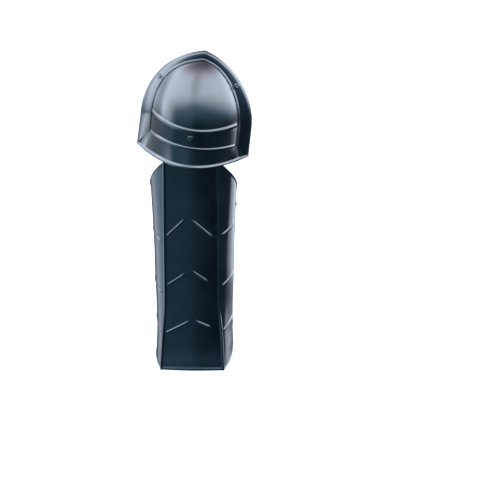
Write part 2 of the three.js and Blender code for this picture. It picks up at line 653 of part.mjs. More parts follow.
function buildLinkStrap() {
  const places = steps(-0.5, 0.5, 4).map((t) => t * LINK_WIDTH);
  const cupSection = (centreZ) => webbingRing(places.map((x) => {
    const edgeZ = bandRow(centreZ);
    const s = x / domeEdge(edgeZ).x;
    const spot = { point: cupPoint(edgeZ, s), normal: normalOf(cupPoint, edgeZ, s) };
    const front = CUP_WALL + GAP;
    const faces = [behind(spot, front), behind(spot, front + STRAP_THICKNESS)];
    return faces.map((p) => p.applyMatrix4(cupPlace));
  }));
  const plateSection = (z, clear) => webbingRing(places.map((x) => {
    const s = x / plateAt(z, 1).x;
    const spot = { point: plateAt(z, s), normal: normalOf(plateAt, z, s) };
    return [behind(spot, -clear - STRAP_THICKNESS), behind(spot, -clear)];
  }));
  const rings = [
    cupSection(LINK_TOP), cupSection((LINK_TOP + LINK_FOOT) / 2), cupSection(LINK_FOOT),
    plateSection(LINK_PLATE_TOP_Z, GAP), plateSection(LINK_PLATE_FOOT_Z, GAP),
  ];
  const cupSpot = {
    point: linkCupSpot.point.clone().applyMatrix4(cupPlace),
    normal: linkCupSpot.normal.clone().transformDirection(cupPlace),
  };
  const strap = pierce(toSolid(loft(rings)), cupSpot, HOLE_RADIUS);
  return pierce(strap, linkPlateSpot, HOLE_RADIUS);
}

// Rivet: a low domed head, a shank and a flat tail, along +Y with the wall's outer face at y = 0.
function rivetMesh(name, { point, normal }, grip, lift = 0) {
  const head = steps(0, Math.PI / 2, 3).map((a) => new THREE.Vector2(
    RIVET_HEAD_RADIUS * Math.sin(a), lift + GAP + RIVET_HEAD_HEIGHT * Math.cos(a)));
  const tail = -(grip + RIVET_PLAY);
  const profile = [
    ...head,
    new THREE.Vector2(RIVET_SHANK_RADIUS, lift + GAP),
    new THREE.Vector2(RIVET_SHANK_RADIUS, tail),
    new THREE.Vector2(RIVET_HEAD_RADIUS * RIVET_TAIL_SHARE, tail),
    new THREE.Vector2(RIVET_HEAD_RADIUS * RIVET_TAIL_SHARE, tail - RIVET_TAIL_THICKNESS),
    new THREE.Vector2(0, tail - RIVET_TAIL_THICKNESS),
  ].reverse();
  const mesh = new THREE.Mesh(new THREE.LatheGeometry(profile, ROUND_SIDES), darkSteel);
  mesh.name = name;
  mesh.position.copy(point);
  mesh.quaternion.setFromUnitVectors(vec(0, 1, 0), normal);
  return mesh;
}

// Clasp: one plain sleeve around the flat middle of a strap.
function claspMesh(name, strapWidth, y, z) {
  const slotHeight = strapWidth + 2 * GAP;
  const slotDepth = STRAP_THICKNESS + 2 * GAP;
  const height = slotHeight + 2 * CLASP_WALL;
  const depth = slotDepth + 2 * CLASP_WALL;
  const corner = CLASP_CORNER;
  const outline = new THREE.Shape();
  outline.moveTo(-depth / 2 + corner, -height / 2);
  outline.lineTo(depth / 2 - corner, -height / 2);
  outline.quadraticCurveTo(depth / 2, -height / 2, depth / 2, -height / 2 + corner);
  outline.lineTo(depth / 2, height / 2 - corner);
  outline.quadraticCurveTo(depth / 2, height / 2, depth / 2 - corner, height / 2);
  outline.lineTo(-depth / 2 + corner, height / 2);
  outline.quadraticCurveTo(-depth / 2, height / 2, -depth / 2, height / 2 - corner);
  outline.lineTo(-depth / 2, -height / 2 + corner);
  outline.quadraticCurveTo(-depth / 2, -height / 2, -depth / 2 + corner, -height / 2);
  const slot = new THREE.Path();
  slot.moveTo(-slotDepth / 2, -slotHeight / 2);
  slot.lineTo(-slotDepth / 2, slotHeight / 2);
  slot.lineTo(slotDepth / 2, slotHeight / 2);
  slot.lineTo(slotDepth / 2, -slotHeight / 2);
  slot.closePath();
  outline.holes.push(slot);
  const extrusion = { depth: CLASP_LENGTH, bevelEnabled: false, curveSegments: 3 };
  const geometry = new THREE.ExtrudeGeometry(outline, extrusion);
  geometry.applyMatrix4(new THREE.Matrix4().makeBasis(vec(0, 1, 0), vec(0, 0, 1), vec(1, 0, 0)));
  geometry.translate(-CLASP_LENGTH / 2, y, z);
  const mesh = new THREE.Mesh(geometry, dullPlastic);
  mesh.name = name;
  return mesh;
}

function solidMesh(name, solid, material) {
  const mesh = new THREE.Mesh(fromSolid(solid), material);
  mesh.name = name;
  return mesh;
}

const strapGrip = (wall) => wall + GAP + STRAP_THICKNESS;

// A calf strap is upright and the wing leans, so the strap stands off the wall by this much there.
function calfSlack(z) {
  const out = (level) => plateAt(level, CALF_RIVET_ACROSS).x;
  return out(z) - Math.min(out(z - CALF_STRAP_WIDTH / 2), out(z + CALF_STRAP_WIDTH / 2));
}

const knee = new THREE.Group();
knee.applyMatrix4(cupPlace);
knee.add(solidMesh('knee_cup', buildKneeCup(), plastic));
knee.add(solidMesh('knee_strap', buildKneeStrap(), webbing));
knee.add(rivetMesh('knee_rivet_left', kneeRivetSpot(-1), strapGrip(CUP_WALL)));
knee.add(rivetMesh('knee_rivet_right', kneeRivetSpot(1), strapGrip(CUP_WALL)));
knee.add(rivetMesh('link_rivet_cup', linkCupSpot, strapGrip(CUP_WALL)));
const kneeStrapZ = flangeSpot(KNEE_RIVET_ANGLE, 2).z - KNEE_STRAP_DROP;
knee.add(claspMesh('knee_clasp', KNEE_STRAP_WIDTH, KNEE_STRAP_REACH, kneeStrapZ));

const greave = new THREE.Group();
greave.add(knee);
greave.add(solidMesh('shin_plate', buildShinPlate(), plastic));
greave.add(solidMesh('link_strap', buildLinkStrap(), webbing));
greave.add(rivetMesh('link_rivet_plate', linkPlateSpot, PLATE_WALL, GAP + STRAP_THICKNESS));
for (const [level, z] of [['upper', UPPER_CALF_Z], ['lower', LOWER_CALF_Z]]) {
  greave.add(solidMesh(`${level}_calf_strap`, buildCalfStrap(z), webbing));
  greave.add(claspMesh(`${level}_calf_clasp`, CALF_STRAP_WIDTH, CALF_STRAP_REACH, z));
  const grip = strapGrip(PLATE_WALL) + calfSlack(z);
  greave.add(rivetMesh(`${level}_calf_rivet_left`, calfRivetSpot(z, -1), grip));
  greave.add(rivetMesh(`${level}_calf_rivet_right`, calfRivetSpot(z, 1), grip));
}

export default greave;
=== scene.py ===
# %% [markdown]
# # A moulded guard for the shin and the knee
# The real guard is two sheets of glossy plastic, pressed in moulds: a domed cup for the knee and
# a long plate for the shin. Webbing joins them and straps them on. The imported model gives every
# piece its place, and this lesson makes the fine surfaces around it.

# %% Load the fixed frame
import math
import bmesh
import bpy
from mathutils import Matrix, Vector


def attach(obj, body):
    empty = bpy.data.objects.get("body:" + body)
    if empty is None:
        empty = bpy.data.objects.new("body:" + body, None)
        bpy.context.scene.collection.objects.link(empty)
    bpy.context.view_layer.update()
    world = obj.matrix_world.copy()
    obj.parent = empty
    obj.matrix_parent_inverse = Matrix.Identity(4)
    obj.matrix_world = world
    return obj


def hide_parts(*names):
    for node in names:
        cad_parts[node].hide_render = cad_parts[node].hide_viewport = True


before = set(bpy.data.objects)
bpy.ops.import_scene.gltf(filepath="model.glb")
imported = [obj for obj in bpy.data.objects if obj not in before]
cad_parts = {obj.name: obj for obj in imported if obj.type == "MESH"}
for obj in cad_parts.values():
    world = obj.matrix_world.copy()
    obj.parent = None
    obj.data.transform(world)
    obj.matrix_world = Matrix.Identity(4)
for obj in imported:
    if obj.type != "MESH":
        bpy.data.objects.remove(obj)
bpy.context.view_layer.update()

# %% [markdown]
# ## From a flat grid to a pressed sheet
# A pressed sheet is one surface with a wall behind it. It could be a subdivided cage, but then the
# ridges would drift as the cage is smoothed. Here two flat grids are made with create_grid, their
# points are laid on the outer and the inner face, and bridge_loops closes the edge between them.
# Rows and columns crowd towards each ridge, so a ridge is smooth with few faces elsewhere.

# %% Helpers for pressed sheets
MM = 0.001
WELD = 0.0005
SMALL_STEP = 0.012
SHEET_EDGE = 0.8


def lerp(start, end, share):
    return start + (end - start) * share


def clamp(value, low=0.0, high=1.0):
    return min(max(value, low), high)


def ease(low, high, value):
    share = clamp((value - low) / (high - low))
    return share * share * (3 - 2 * share)


def crowded(low, high, count):
    """Places from low to high that crowd towards both ends."""
    return [lerp(low, high, (1 - math.cos(math.pi * k / count)) / 2) for k in range(count + 1)]


def chained(*runs):
    """Joins runs of places that share their end and start."""
    places = list(runs[0])
    for run in runs[1:]:
        places += run[1:]
    return places


def rounded(distance, half_width, height):
    """Height of a round ridge at a distance from its middle."""
    share = abs(distance) / half_width
    return height * (1 - share * share) ** 1.5 if share < 1 else 0.0


def normal_of(surface, row, across, across_limit=2.0):
    along_row = surface(row + SMALL_STEP, across) - surface(row - SMALL_STEP, across)
    right = surface(row, min(across + SMALL_STEP, across_limit))
    left = surface(row, max(across - SMALL_STEP, -across_limit))
    normal = (right - left).cross(along_row)
    return normal.normalized()


def sheet_piece(name, rows, columns, outer, inner, place, lengths=None):
    """Two grids laid on the outer and inner face of a sheet, with their edges bridged."""
    bm = bmesh.new()
    uv_layer = bm.loops.layers.uv.new("UVMap") if lengths else None
    for face_of in (outer, inner):
        made = bmesh.ops.create_grid(
            bm, x_segments=len(columns) - 1, y_segments=len(rows) - 1, size=1
        )
        faces = {face for vert in made["verts"] for face in vert.link_faces}
        spots = {}
        for vert in made["verts"]:
            column = round((vert.co.x + 1) / 2 * (len(columns) - 1))
            row = round((vert.co.y + 1) / 2 * (len(rows) - 1))
            spots[vert] = (row, column)
        for vert, (row, column) in spots.items():
            vert.co = face_of(rows[row], columns[column])
        if lengths:
            for face in faces:
                for loop in face.loops:
                    row, column = spots[loop.vert]
                    loop[uv_layer].uv = (lengths[0][row], lengths[1][column])
        if face_of is inner:
            bmesh.ops.reverse_faces(bm, faces=list(faces))
    bmesh.ops.remove_doubles(bm, verts=bm.verts, dist=WELD)
    bmesh.ops.dissolve_degenerate(bm, edges=bm.edges, dist=WELD)
    rim = [edge for edge in bm.edges if edge.is_boundary]
    bmesh.ops.bridge_loops(bm, edges=rim)
    bmesh.ops.recalc_face_normals(bm, faces=bm.faces)
    bmesh.ops.transform(bm, matrix=place, verts=bm.verts)
    return finished(name, bm)


def finished(name, bm):
    """Turns a bmesh into an object at the origin and says how large it is."""
    for face in bm.faces:
        face.smooth = True
    mesh = bpy.data.meshes.new(name)
    bm.to_mesh(mesh)
    open_edges = sum(edge.is_boundary for edge in bm.edges)
    bm.free()
    piece = bpy.data.objects.new(name, mesh)
    bpy.context.scene.collection.objects.link(piece)
    print(name, "faces:", len(mesh.polygons), "open edges:", open_edges)
    return piece


def soft_edges(piece, width, segments=3):
    """A small round on every sharp edge, as a mould leaves it."""
    bevel = piece.modifiers.new("soft edges", "BEVEL")
    bevel.width = width * MM
    bevel.segments = segments
    bevel.limit_method = "ANGLE"
    bevel.angle_limit = math.radians(50)


PARTS = []


def fit(piece, slot, *nodes):
    """The piece rides on the guard's one body, stands for its nodes and takes their finish."""
    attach(piece, "root")
    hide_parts(*nodes)
    PARTS.append((piece, slot))


in_metres = Matrix.Scale(MM, 4)

# %% [markdown]
# ## The knee cup
# On the real guard the cup is one pressing: a pointed arch of flange, a dome inside it, a bead
# between them, two ridges across the front and a skirt that ends in a rolled rim. All of it is one
# surface, so it is made as one grid. `up` runs from the rim through the ridges to the dome's tip,
# and `across` runs from edge to edge, with the dome between -1 and 1.

# %% Sizes of the knee cup, in millimetres
CUP_WIDTH = 174.4
CUP_HEIGHT = 153.6
CUP_SHOULDER = 45
CUP_LEAN = 3.4
TIP_SHIFT = 3.4
TIP_POWER = 8
WALL = 2.5
RIM_DIP = 18.3
RIM_DEPTH = 61
CORNER_BACK = 14
RIM_SHARE_UNDER_DOME = 0.83
DOME_WIDTH = 135.1
DOME_HEIGHT = 138.3
DOME_DEPTH = 60
DOME_ARCH_PAST = 20.9
DOME_ARCH_POWER = 0.4
DOME_POWER = 0.8
FLANGE_ARCH_PAST = 25.1
FLANGE_ARCH_POWER = 0.5
SKIRT_POWER = 1.35
BAND_SETBACK = 0.04
KEEL_HEIGHT = 2
KEEL_SPREAD = 0.22
FLANGE_SWEEP = {-1: 22, 1: 12.5}
FLANGE_TIP_SWEEP = 1
FLANGE_CROWN = 1.2
UPPER_RIDGE_Z = 51.8
UPPER_RIDGE_DIP = 15.3
LOWER_RIDGE_Z = 19.8
LOWER_RIDGE_DIP = 9.8
RIDGE_SKEW = 3.2
CUP_TILT = math.radians(6.5)
CUP_ORIGIN = (-1.2, -29, 170)
cup_turn = Matrix.Rotation(CUP_TILT, 4, "Y")
cup_place = in_metres @ Matrix.Translation(CUP_ORIGIN) @ cup_turn
print("cup:", CUP_WIDTH, "x", CUP_HEIGHT + RIM_DIP, "mm, turned", round(math.degrees(CUP_TILT), 1))


# %% The cup's surface
def arch_half(half_width, past, power, sine):
    """Half width of a pointed arch, whose sides would only meet `past` beyond the middle."""
    full = half_width + past
    closing = 1 - (past / full) ** (1 / power)
    return full * max(1 - closing * sine * sine, 0) ** power - past


def sine_of(edge_z):
    return clamp((edge_z - CUP_SHOULDER) / (DOME_HEIGHT - CUP_SHOULDER))


def cup_point(edge_z, across):
    side = -1 if across < 0 else 1
    share = abs(across)
    sine = sine_of(edge_z)
    shift = (CUP_LEAN + TIP_SHIFT) * sine**TIP_POWER - CUP_LEAN * sine
    inner_x = arch_half(DOME_WIDTH / 2, DOME_ARCH_PAST, DOME_ARCH_POWER, sine)
    skew = side * RIDGE_SKEW * min((DOME_HEIGHT - edge_z) / (DOME_HEIGHT - UPPER_RIDGE_Z), 1)
    if share <= 1:
        rise = max((edge_z - UPPER_RIDGE_Z) / (DOME_HEIGHT - UPPER_RIDGE_Z), 0)
        fall = max((UPPER_RIDGE_Z - edge_z) / (UPPER_RIDGE_Z - LOWER_RIDGE_Z), 0)
        swell = max((1 - share**2) * (1 - rise**2), 0) ** DOME_POWER
        keel = KEEL_HEIGHT * rise * swell * math.exp(-((share / KEEL_SPREAD) ** 2))
        dip = lerp(UPPER_RIDGE_DIP, LOWER_RIDGE_DIP, fall) if fall else UPPER_RIDGE_DIP * (1 - rise)
        depth = DOME_DEPTH * (1 - BAND_SETBACK * fall) * swell + keel
        z = edge_z - dip * (1 - share**2) - skew * share
        return Vector((side * inner_x * share + shift, -depth, z))
    outer_x = arch_half(CUP_WIDTH / 2, FLANGE_ARCH_PAST, FLANGE_ARCH_POWER, sine)
    corner = clamp((CUP_SHOULDER - edge_z) / (CUP_SHOULDER - LOWER_RIDGE_Z))
    outer_z = lerp(CUP_SHOULDER, CUP_HEIGHT, sine) if sine > 0 else CUP_SHOULDER * (1 - corner)
    out = share - 1
    back = lerp(lerp(FLANGE_SWEEP[side], FLANGE_TIP_SWEEP, sine**2), CORNER_BACK, corner)
    crown = FLANGE_CROWN * 4 * out * (1 - out)
    x = side * lerp(inner_x, outer_x, out) + shift
    return Vector((x, back * out - crown, lerp(edge_z - skew, outer_z, out)))


def rim_point(across):
    side = -1 if across < 0 else 1
    share = abs(across)
    if share <= 1:
        x = RIM_SHARE_UNDER_DOME * share
    else:
        x = lerp(RIM_SHARE_UNDER_DOME, 1, share - 1)
    inside = max(1 - x * x, 0)
    y = CORNER_BACK - (RIM_DEPTH + CORNER_BACK) * inside**SKIRT_POWER
    return Vector((side * CUP_WIDTH / 2 * x, y, -RIM_DIP * inside))


FIRST_ANGLE = math.asin((UPPER_RIDGE_Z - CUP_SHOULDER) / (DOME_HEIGHT - CUP_SHOULDER))
# Past these places the surface is too narrow to measure its own direction.
EDGE_ACROSS = 1.98
TIP_UP = 1.999
TIP_ACROSS = 1.2


def edge_height(up):
    """Height on the dome's edge of a row: 0 lower ridge, 1 upper ridge, 2 the tip."""
    if up <= 1:
        return lerp(LOWER_RIDGE_Z, UPPER_RIDGE_Z, up)
    angle = lerp(FIRST_ANGLE, math.pi / 2, min(up, 2) - 1)
    return lerp(CUP_SHOULDER, DOME_HEIGHT, math.sin(angle))


def cup_base(up, across):
    if up >= 0:
        return cup_point(edge_height(up), across)
    return cup_point(LOWER_RIDGE_Z, across).lerp(rim_point(across), -up)


def cup_normal(up, across):
    """Outward direction. At the tip, where the arch's sides meet, it has no sideways part."""
    if abs(across) > EDGE_ACROSS and up < 0:
        up = 0
    if up > TIP_UP:
        across = max(abs(across), TIP_ACROSS)
        normal = normal_of(cup_base, 2 - SMALL_STEP, across)
        return Vector((0, normal.y, normal.z)).normalized()
    return normal_of(cup_base, up, across)


# %% Ridges, bead, lip and rolled rim of the cup
RIDGES = [
    {"up": 1, "half": 2.6, "height": 2.0},
    {"up": 0, "half": 2.0, "height": 1.2},
]
RIDGE_FADE = (0.985, 0.94)
BEAD_HALF = 3.0
BEAD_HEIGHT = 2.3
BEAD_OUT = -0.3
BEAD_TILT = 0.3
# The bead fades out in the first rows of the skirt, and is looked for near the dome's edge only.
BEAD_FADE = -0.25
BEAD_FROM_UP = -0.3
BEAD_FROM_ACROSS = 0.85
# The flange's edge turns back: how far, how wide and how sharply, low down and high up.
TURN_BACK = {"low": 2.6, "high": 3.4}
TURN_WIDTH = {"low": 7.5, "high": 4.4}
TURN_POWER = {"low": 2.0, "high": 1.3}
TURN_CHANGE = (1.55, 0.9)
ROLL_HALF = 2.4
ROLL_HEIGHT = 2.0
SKIRT_REACH = 1.1


def bead_lift(up, across, point):
    side = -1 if across < 0 else 1
    foot = cup_base(max(up, 0), side)
    out = (cup_base(max(up, 0), 2 * side) - foot).normalized()
    distance = (point - foot).length * (1 if abs(across) >= 1 else -1)
    direction = Vector((out.x, 0, out.z)).normalized() * BEAD_TILT + Vector((0, -1, 0))
    fade = ease(BEAD_FADE, 0.0, up)
    return direction.normalized() * rounded(distance - BEAD_OUT, BEAD_HALF, BEAD_HEIGHT * fade)


def cup_outer(up, across):
    point = cup_base(up, across)
    lift = 0.0
    turned_back = Vector()
    if abs(across) <= 1.0:
        ridge_end = ease(*RIDGE_FADE, abs(across))
        for ridge in RIDGES:
            distance = (point - cup_base(ridge["up"], across)).length
            lift += rounded(distance, ridge["half"], ridge["height"]) * ridge_end
    if abs(across) > 1.0 and up >= 0:
        edge = (point - cup_base(up, 2.0 if across > 0 else -2.0)).length
        low = ease(*TURN_CHANGE, up)
        reach, width, power = (
            lerp(turn["high"], turn["low"], low) for turn in (TURN_BACK, TURN_WIDTH, TURN_POWER)
        )
        turned_back.y = reach * max(1 - edge / width, 0) ** power
    if up < 0:
        lift += rounded((point - cup_base(-1, across)).length, ROLL_HALF, ROLL_HEIGHT)
    moved = point + cup_normal(up, across) * lift + turned_back
    if abs(across) > BEAD_FROM_ACROSS and up > BEAD_FROM_UP:
        moved += bead_lift(up, across, point)
    return moved


def cup_inner(up, across):
    return cup_base(up, across) - cup_normal(up, across) * WALL


# %% Press the cup
SKIRT_STEPS = 26
BAND_STEPS = 24
DOME_STEPS = 64
DOME_CROWDING = 1.6
FLANGE_COLUMNS = 24
DOME_COLUMNS = 88
skirt_rows = [-drop for drop in reversed(crowded(0, SKIRT_REACH, SKIRT_STEPS))]
dome_rows = [1 + (k / DOME_STEPS) ** DOME_CROWDING for k in range(DOME_STEPS + 1)]
cup_rows = chained(skirt_rows, crowded(0, 1, BAND_STEPS), dome_rows)
cup_columns = chained(
    crowded(-2, -1, FLANGE_COLUMNS), crowded(-1, 1, DOME_COLUMNS), crowded(1, 2, FLANGE_COLUMNS)
)
knee_cup = sheet_piece("knee_cup_pressed", cup_rows, cup_columns, cup_outer, cup_inner, cup_place)
soft_edges(knee_cup, SHEET_EDGE)
fit(knee_cup, "plastic_shell", "knee_cup")

# %% [markdown]
# ## The shin plate
# The plate is a second pressing: a shallow panel down the shin, a crease on each side of it and a
# wing that wraps back from each crease. Three chevrons stiffen the panel, and ribs run on from them
# over the wings. The rows of this grid zigzag with the chevrons, so each rib lies along a row and
# its round top needs no extra faces.

# %% Sizes of the shin plate, in millimetres
PLATE_HEIGHT = 342
PLATE_BOTTOM = -170
PLATE_TOP = PLATE_BOTTOM + PLATE_HEIGHT
PLATE_WIDTH = 134.6
PANEL_WIDTH = 84
PANEL_BULGE = 4.5
PANEL_POWER = 1.7
SHIN_DEPTH = 58
WING_DEPTH = 58
WING_START = math.radians(30)
WING_END = math.radians(105)
FOOT_FLARE = 7
TOP_CROWN = 15
SHOULDER_DROP = 51
HEEL_RISE = 24

# Height rows of the plate: share of its height, then shares of the panel's width, of the plate's
# width and of the foot's flare.
PLATE_ROWS = [
    {"at": 0.0, "panel": 1.16, "outline": 0.905, "flare": 1.0},
    {"at": 0.09, "panel": 1.12, "outline": 0.895, "flare": 0.42},
    {"at": 0.17, "panel": 1.08, "outline": 0.88, "flare": 0.14},
    {"at": 0.28, "panel": 1.01, "outline": 0.888, "flare": 0.0},
    {"at": 0.4, "panel": 1.0, "outline": 0.912, "flare": 0.0},
    {"at": 0.53, "panel": 1.0, "outline": 0.925, "flare": 0.0},
    {"at": 0.64, "panel": 1.0, "outline": 0.946, "flare": 0.0},
    {"at": 0.77, "panel": 0.995, "outline": 0.978, "flare": 0.0},
    {"at": 0.85, "panel": 0.99, "outline": 1.0, "flare": 0.05},
    {"at": 1.0, "panel": 0.985, "outline": 1.02, "flare": 0.3},
]
print("plate:", PLATE_WIDTH, "x", PLATE_HEIGHT, "mm, from", PLATE_BOTTOM, "to", PLATE_TOP)

# Ribs from the foot up, three rows: left wing, the two arms of a chevron, right wing. The places
# run across the plate, the panel within 1; foot and rise are shares of the plate's height.
RIB_ROWS = [
    [
        {"from": -1.1, "to": -1.78, "foot": 0.17, "rise": 0.069},
        {"from": -0.97, "to": -0.06, "foot": 0.166, "rise": 0.064},
        {"from": 0.67, "to": 0.115, "foot": 0.198, "rise": 0.032},
        {"from": 1.04, "to": 1.78, "foot": 0.178, "rise": 0.053},
    ],
    [
        {"from": -1.1, "to": -1.78, "foot": 0.349, "rise": 0.065},
        {"from": -0.95, "to": -0.22, "foot": 0.388, "rise": 0.061},
        {"from": 0.62, "to": -0.01, "foot": 0.408, "rise": 0.054},
        {"from": 1.04, "to": 1.78, "foot": 0.383, "rise": 0.06},
    ],
    [
        {"from": -1.1, "to": -1.78, "foot": 0.587, "rise": 0.057},
        {"from": -0.97, "to": -0.22, "foot": 0.61, "rise": 0.088},
        {"from": 0.81, "to": -0.01, "foot": 0.61, "rise": 0.086},
        {"from": 1.04, "to": 1.78, "foot": 0.618, "rise": 0.058},
    ],
]


# %% The plate's surface
def column(name, at):
    """Smooth value of one column of PLATE_ROWS."""
    last = len(PLATE_ROWS) - 1
    k = max(sum(row["at"] <= at for row in PLATE_ROWS) - 1, 0)
    k = min(k, last - 1)
    start, end = PLATE_ROWS[k], PLATE_ROWS[k + 1]
    before, after = PLATE_ROWS[max(k - 1, 0)], PLATE_ROWS[min(k + 2, last)]
    share = clamp((at - start["at"]) / (end["at"] - start["at"]))
    slope_in = (end[name] - before[name]) / 2
    slope_out = (after[name] - start[name]) / 2
    rest = 1 - share
    value = start[name] + (end[name] - start[name]) * share * share * (3 - 2 * share)
    return value + slope_in * share * rest * rest - slope_out * share * share * rest


def plate_at(z, across):
    side = -1 if across < 0 else 1
    share = abs(across)
    height = (z - PLATE_BOTTOM) / PLATE_HEIGHT
    panel = PANEL_WIDTH / 2 * column("panel", height)
    crease_y = -SHIN_DEPTH - FOOT_FLARE * column("flare", height)
    if share <= 1:
        return Vector((side * panel * share, crease_y - PANEL_BULGE * (1 - share**PANEL_POWER), z))
    outline = PLATE_WIDTH / 2 * column("outline", height)
    angle = lerp(WING_START, WING_END, share - 1)
    reach = (math.sin(angle) - math.sin(WING_START)) / (1 - math.sin(WING_START))
    sweep = (math.cos(WING_START) - math.cos(angle)) / (math.cos(WING_START) - math.cos(WING_END))
    x = side * lerp(panel, outline, reach)
    return Vector((x, lerp(crease_y, WING_DEPTH - SHIN_DEPTH, sweep), z))


def rib_line(ribs, across):
    """Height of the line through a row of ribs. It runs on straight beyond the outer two."""
    knots = []
    for rib in ribs:
        ends = [(rib["from"], rib["foot"]), (rib["to"], rib["foot"] + rib["rise"])]
        knots += sorted(ends)
    k = clamp(sum(place <= across for place, height in knots) - 1, 0, len(knots) - 2)
    (start, low), (end, high) = knots[k], knots[k + 1]
    return PLATE_BOTTOM + PLATE_HEIGHT * lerp(low, high, (across - start) / (end - start))


def plate_z(up, across):
    """Height of a row: 0 the foot, 1 to 3 the chevrons, 4 the top edge."""
    share = abs(across)
    wing = max(share - 1, 0)
    levels = [PLATE_BOTTOM + HEEL_RISE * wing]
    levels += [rib_line(ribs, across) for ribs in RIB_ROWS]
    levels.append(PLATE_TOP - TOP_CROWN * min(share, 1) ** 2 - SHOULDER_DROP * wing)
    k = min(int(clamp(up, 0, 4)), 3)
    return lerp(levels[k], levels[k + 1], up - k)


def plate_base(up, across):
    return plate_at(plate_z(up, across), across)


def plate_normal(z, across):
    return normal_of(plate_at, z, across)


# %% Creases, chevrons, ribs and lips of the plate
CREASE_HALF = 2.5
CREASE_HEIGHT = 1.8
RIGHT_CREASE_SHARE = 0.3
RIGHT_CREASE_FADE = (-105, -75)
RIB_HALF = 1.9
RIB_HEIGHT = 1.15
RIB_FADE = 0.14
FOOT_LIP_HALF = 2.4
FOOT_LIP_HEIGHT = 1.0
EDGE_LIP_HALF = 1.6
EDGE_LIP_HEIGHT = 1.2
# The top and foot edges run aslant, so they are nearer than the height above or below says.
TOP_SLANT = 0.8
HEEL_SLANT = 0.9


def swelling(share):
    """A rib's strength along its length: it swells in and fades out."""
    return ease(0, RIB_FADE, share) * ease(1, 1 - RIB_FADE, share)


def rib_lift(z, across):
    lift = 0.0
    for ribs in RIB_ROWS:
        away = z - rib_line(ribs, across)
        for rib in ribs:
            strength = swelling((across - rib["from"]) / (rib["to"] - rib["from"]))
            reach = PANEL_WIDTH / 2 if abs(across) <= 1 else WING_DEPTH
            slope = math.atan2(PLATE_HEIGHT * rib["rise"], reach * abs(rib["to"] - rib["from"]))
            lift += rounded(away * math.cos(slope), RIB_HALF, RIB_HEIGHT) * strength
    return lift


def plate_outer(up, across):
    point = plate_base(up, across)
    side = 1 if across > 0 else -1
    crease = (point - plate_at(point.z, side)).length
    faded = 0 if across < 0 else ease(*RIGHT_CREASE_FADE, point.z)
    strength = lerp(1, RIGHT_CREASE_SHARE, faded)
    lift = rounded(crease, CREASE_HALF, CREASE_HEIGHT * strength) + rib_lift(point.z, across)
    foot = point.z - plate_z(0, across)
    if abs(across) <= 1:
        lift = max(lift, rounded(foot - FOOT_LIP_HALF, FOOT_LIP_HALF, FOOT_LIP_HEIGHT))
    wing_edge = (point - plate_at(point.z, 2 * side)).length
    top_edge = (plate_z(4, across) - point.z) * TOP_SLANT
    nearest = min(wing_edge, top_edge, foot * HEEL_SLANT if abs(across) > 1 else wing_edge)
    lift = max(lift, rounded(nearest - EDGE_LIP_HALF, EDGE_LIP_HALF, EDGE_LIP_HEIGHT))
    return point + plate_normal(point.z, across) * lift


def plate_inner(up, across):
    point = plate_base(up, across)
    return point - plate_normal(point.z, across) * WALL


# %% Press the plate
CHEVRON_STEPS = 34
TOP_STEPS = 48
WING_COLUMNS = 42
PANEL_COLUMNS = 60
chevron_rows = [crowded(k, k + 1, CHEVRON_STEPS) for k in range(len(RIB_ROWS))]
plate_rows = chained(*chevron_rows, crowded(3, 4, TOP_STEPS))
plate_columns = chained(
    crowded(-2, -1, WING_COLUMNS), crowded(-1, 1, PANEL_COLUMNS), crowded(1, 2, WING_COLUMNS)
)
shin_plate = sheet_piece(
    "shin_plate_pressed", plate_rows, plate_columns, plate_outer, plate_inner, in_metres
)
soft_edges(shin_plate, SHEET_EDGE)
fit(shin_plate, "plastic_shell", "shin_plate")

# %% [markdown]
# ## Webbing
# The straps are flat woven webbing, two millimetres thick. A strap could be a curve with a flat
# section, but its twist would be hard to steer where it leaves the arch. So each strap is a sheet
# as well: stations along it give its outer and inner face, a smooth spline fills in between them,
# and a Subdivision Surface rounds the woven edges.

# %% Helpers for webbing
GAP = 0.3
STRAP = 2.0
STRAP_SHARES = [k / 6 for k in range(7)]
SPLINE_STEPS = 5
KNEE_RIVET_ANGLE = math.radians(37.2)
KNEE_RIVET_ACROSS = 1.5


def spline(stations, steps):
    """A smooth curve through stations that are lists of points of equal length."""
    dense = []
    for k in range(len(stations) - 1):
        a, b = stations[max(k - 1, 0)], stations[k]
        c, d = stations[k + 1], stations[min(k + 2, len(stations) - 1)]
        for step in range(steps):
            t = step / steps
            weights = (
                -0.5 * t + t * t - 0.5 * t**3,
                1 - 2.5 * t * t + 1.5 * t**3,
                0.5 * t + 2 * t * t - 1.5 * t**3,
                -0.5 * t * t + 0.5 * t**3,
            )
            rows = zip(a, b, c, d)
            dense.append([sum((w * p for w, p in zip(weights, four)), Vector()) for four in rows])
    return dense + [stations[-1]]


def behind(surface, normal, row, across, depth):
    return surface(row, across) - normal(row, across) * depth


def strap_piece(name, stations, width, place, *nodes):
    """Stations hold the outer points and then the inner points across the strap."""
    dense = spline(stations, SPLINE_STEPS)
    half = len(dense[0]) // 2
    run = [0.0]
    for before, after in zip(dense, dense[1:]):
        run.append(run[-1] + (after[half // 2] - before[half // 2]).length * MM)
    columns = list(range(half))
    across = [width * MM * k / (half - 1) for k in columns]
    rows = list(range(len(dense)))
    piece = sheet_piece(
        name, rows, columns, lambda r, c: dense[r][c], lambda r, c: dense[r][half + c],
        place, (run, across),
    )
    surface = piece.modifiers.new("woven edge", "SUBSURF")
    surface.levels = 1
    surface.render_levels = 1
    fit(piece, "webbing", *nodes)
    print(name, "is", round(run[-1] / MM), "mm long")


# %% Knee strap, a loop behind the thigh
KNEE_STRAP_WIDTH = 22
KNEE_STRAP_REACH = 98
KNEE_STRAP_DROP = 8
KNEE_TONGUE = (1.14, 1.5, 1.96)
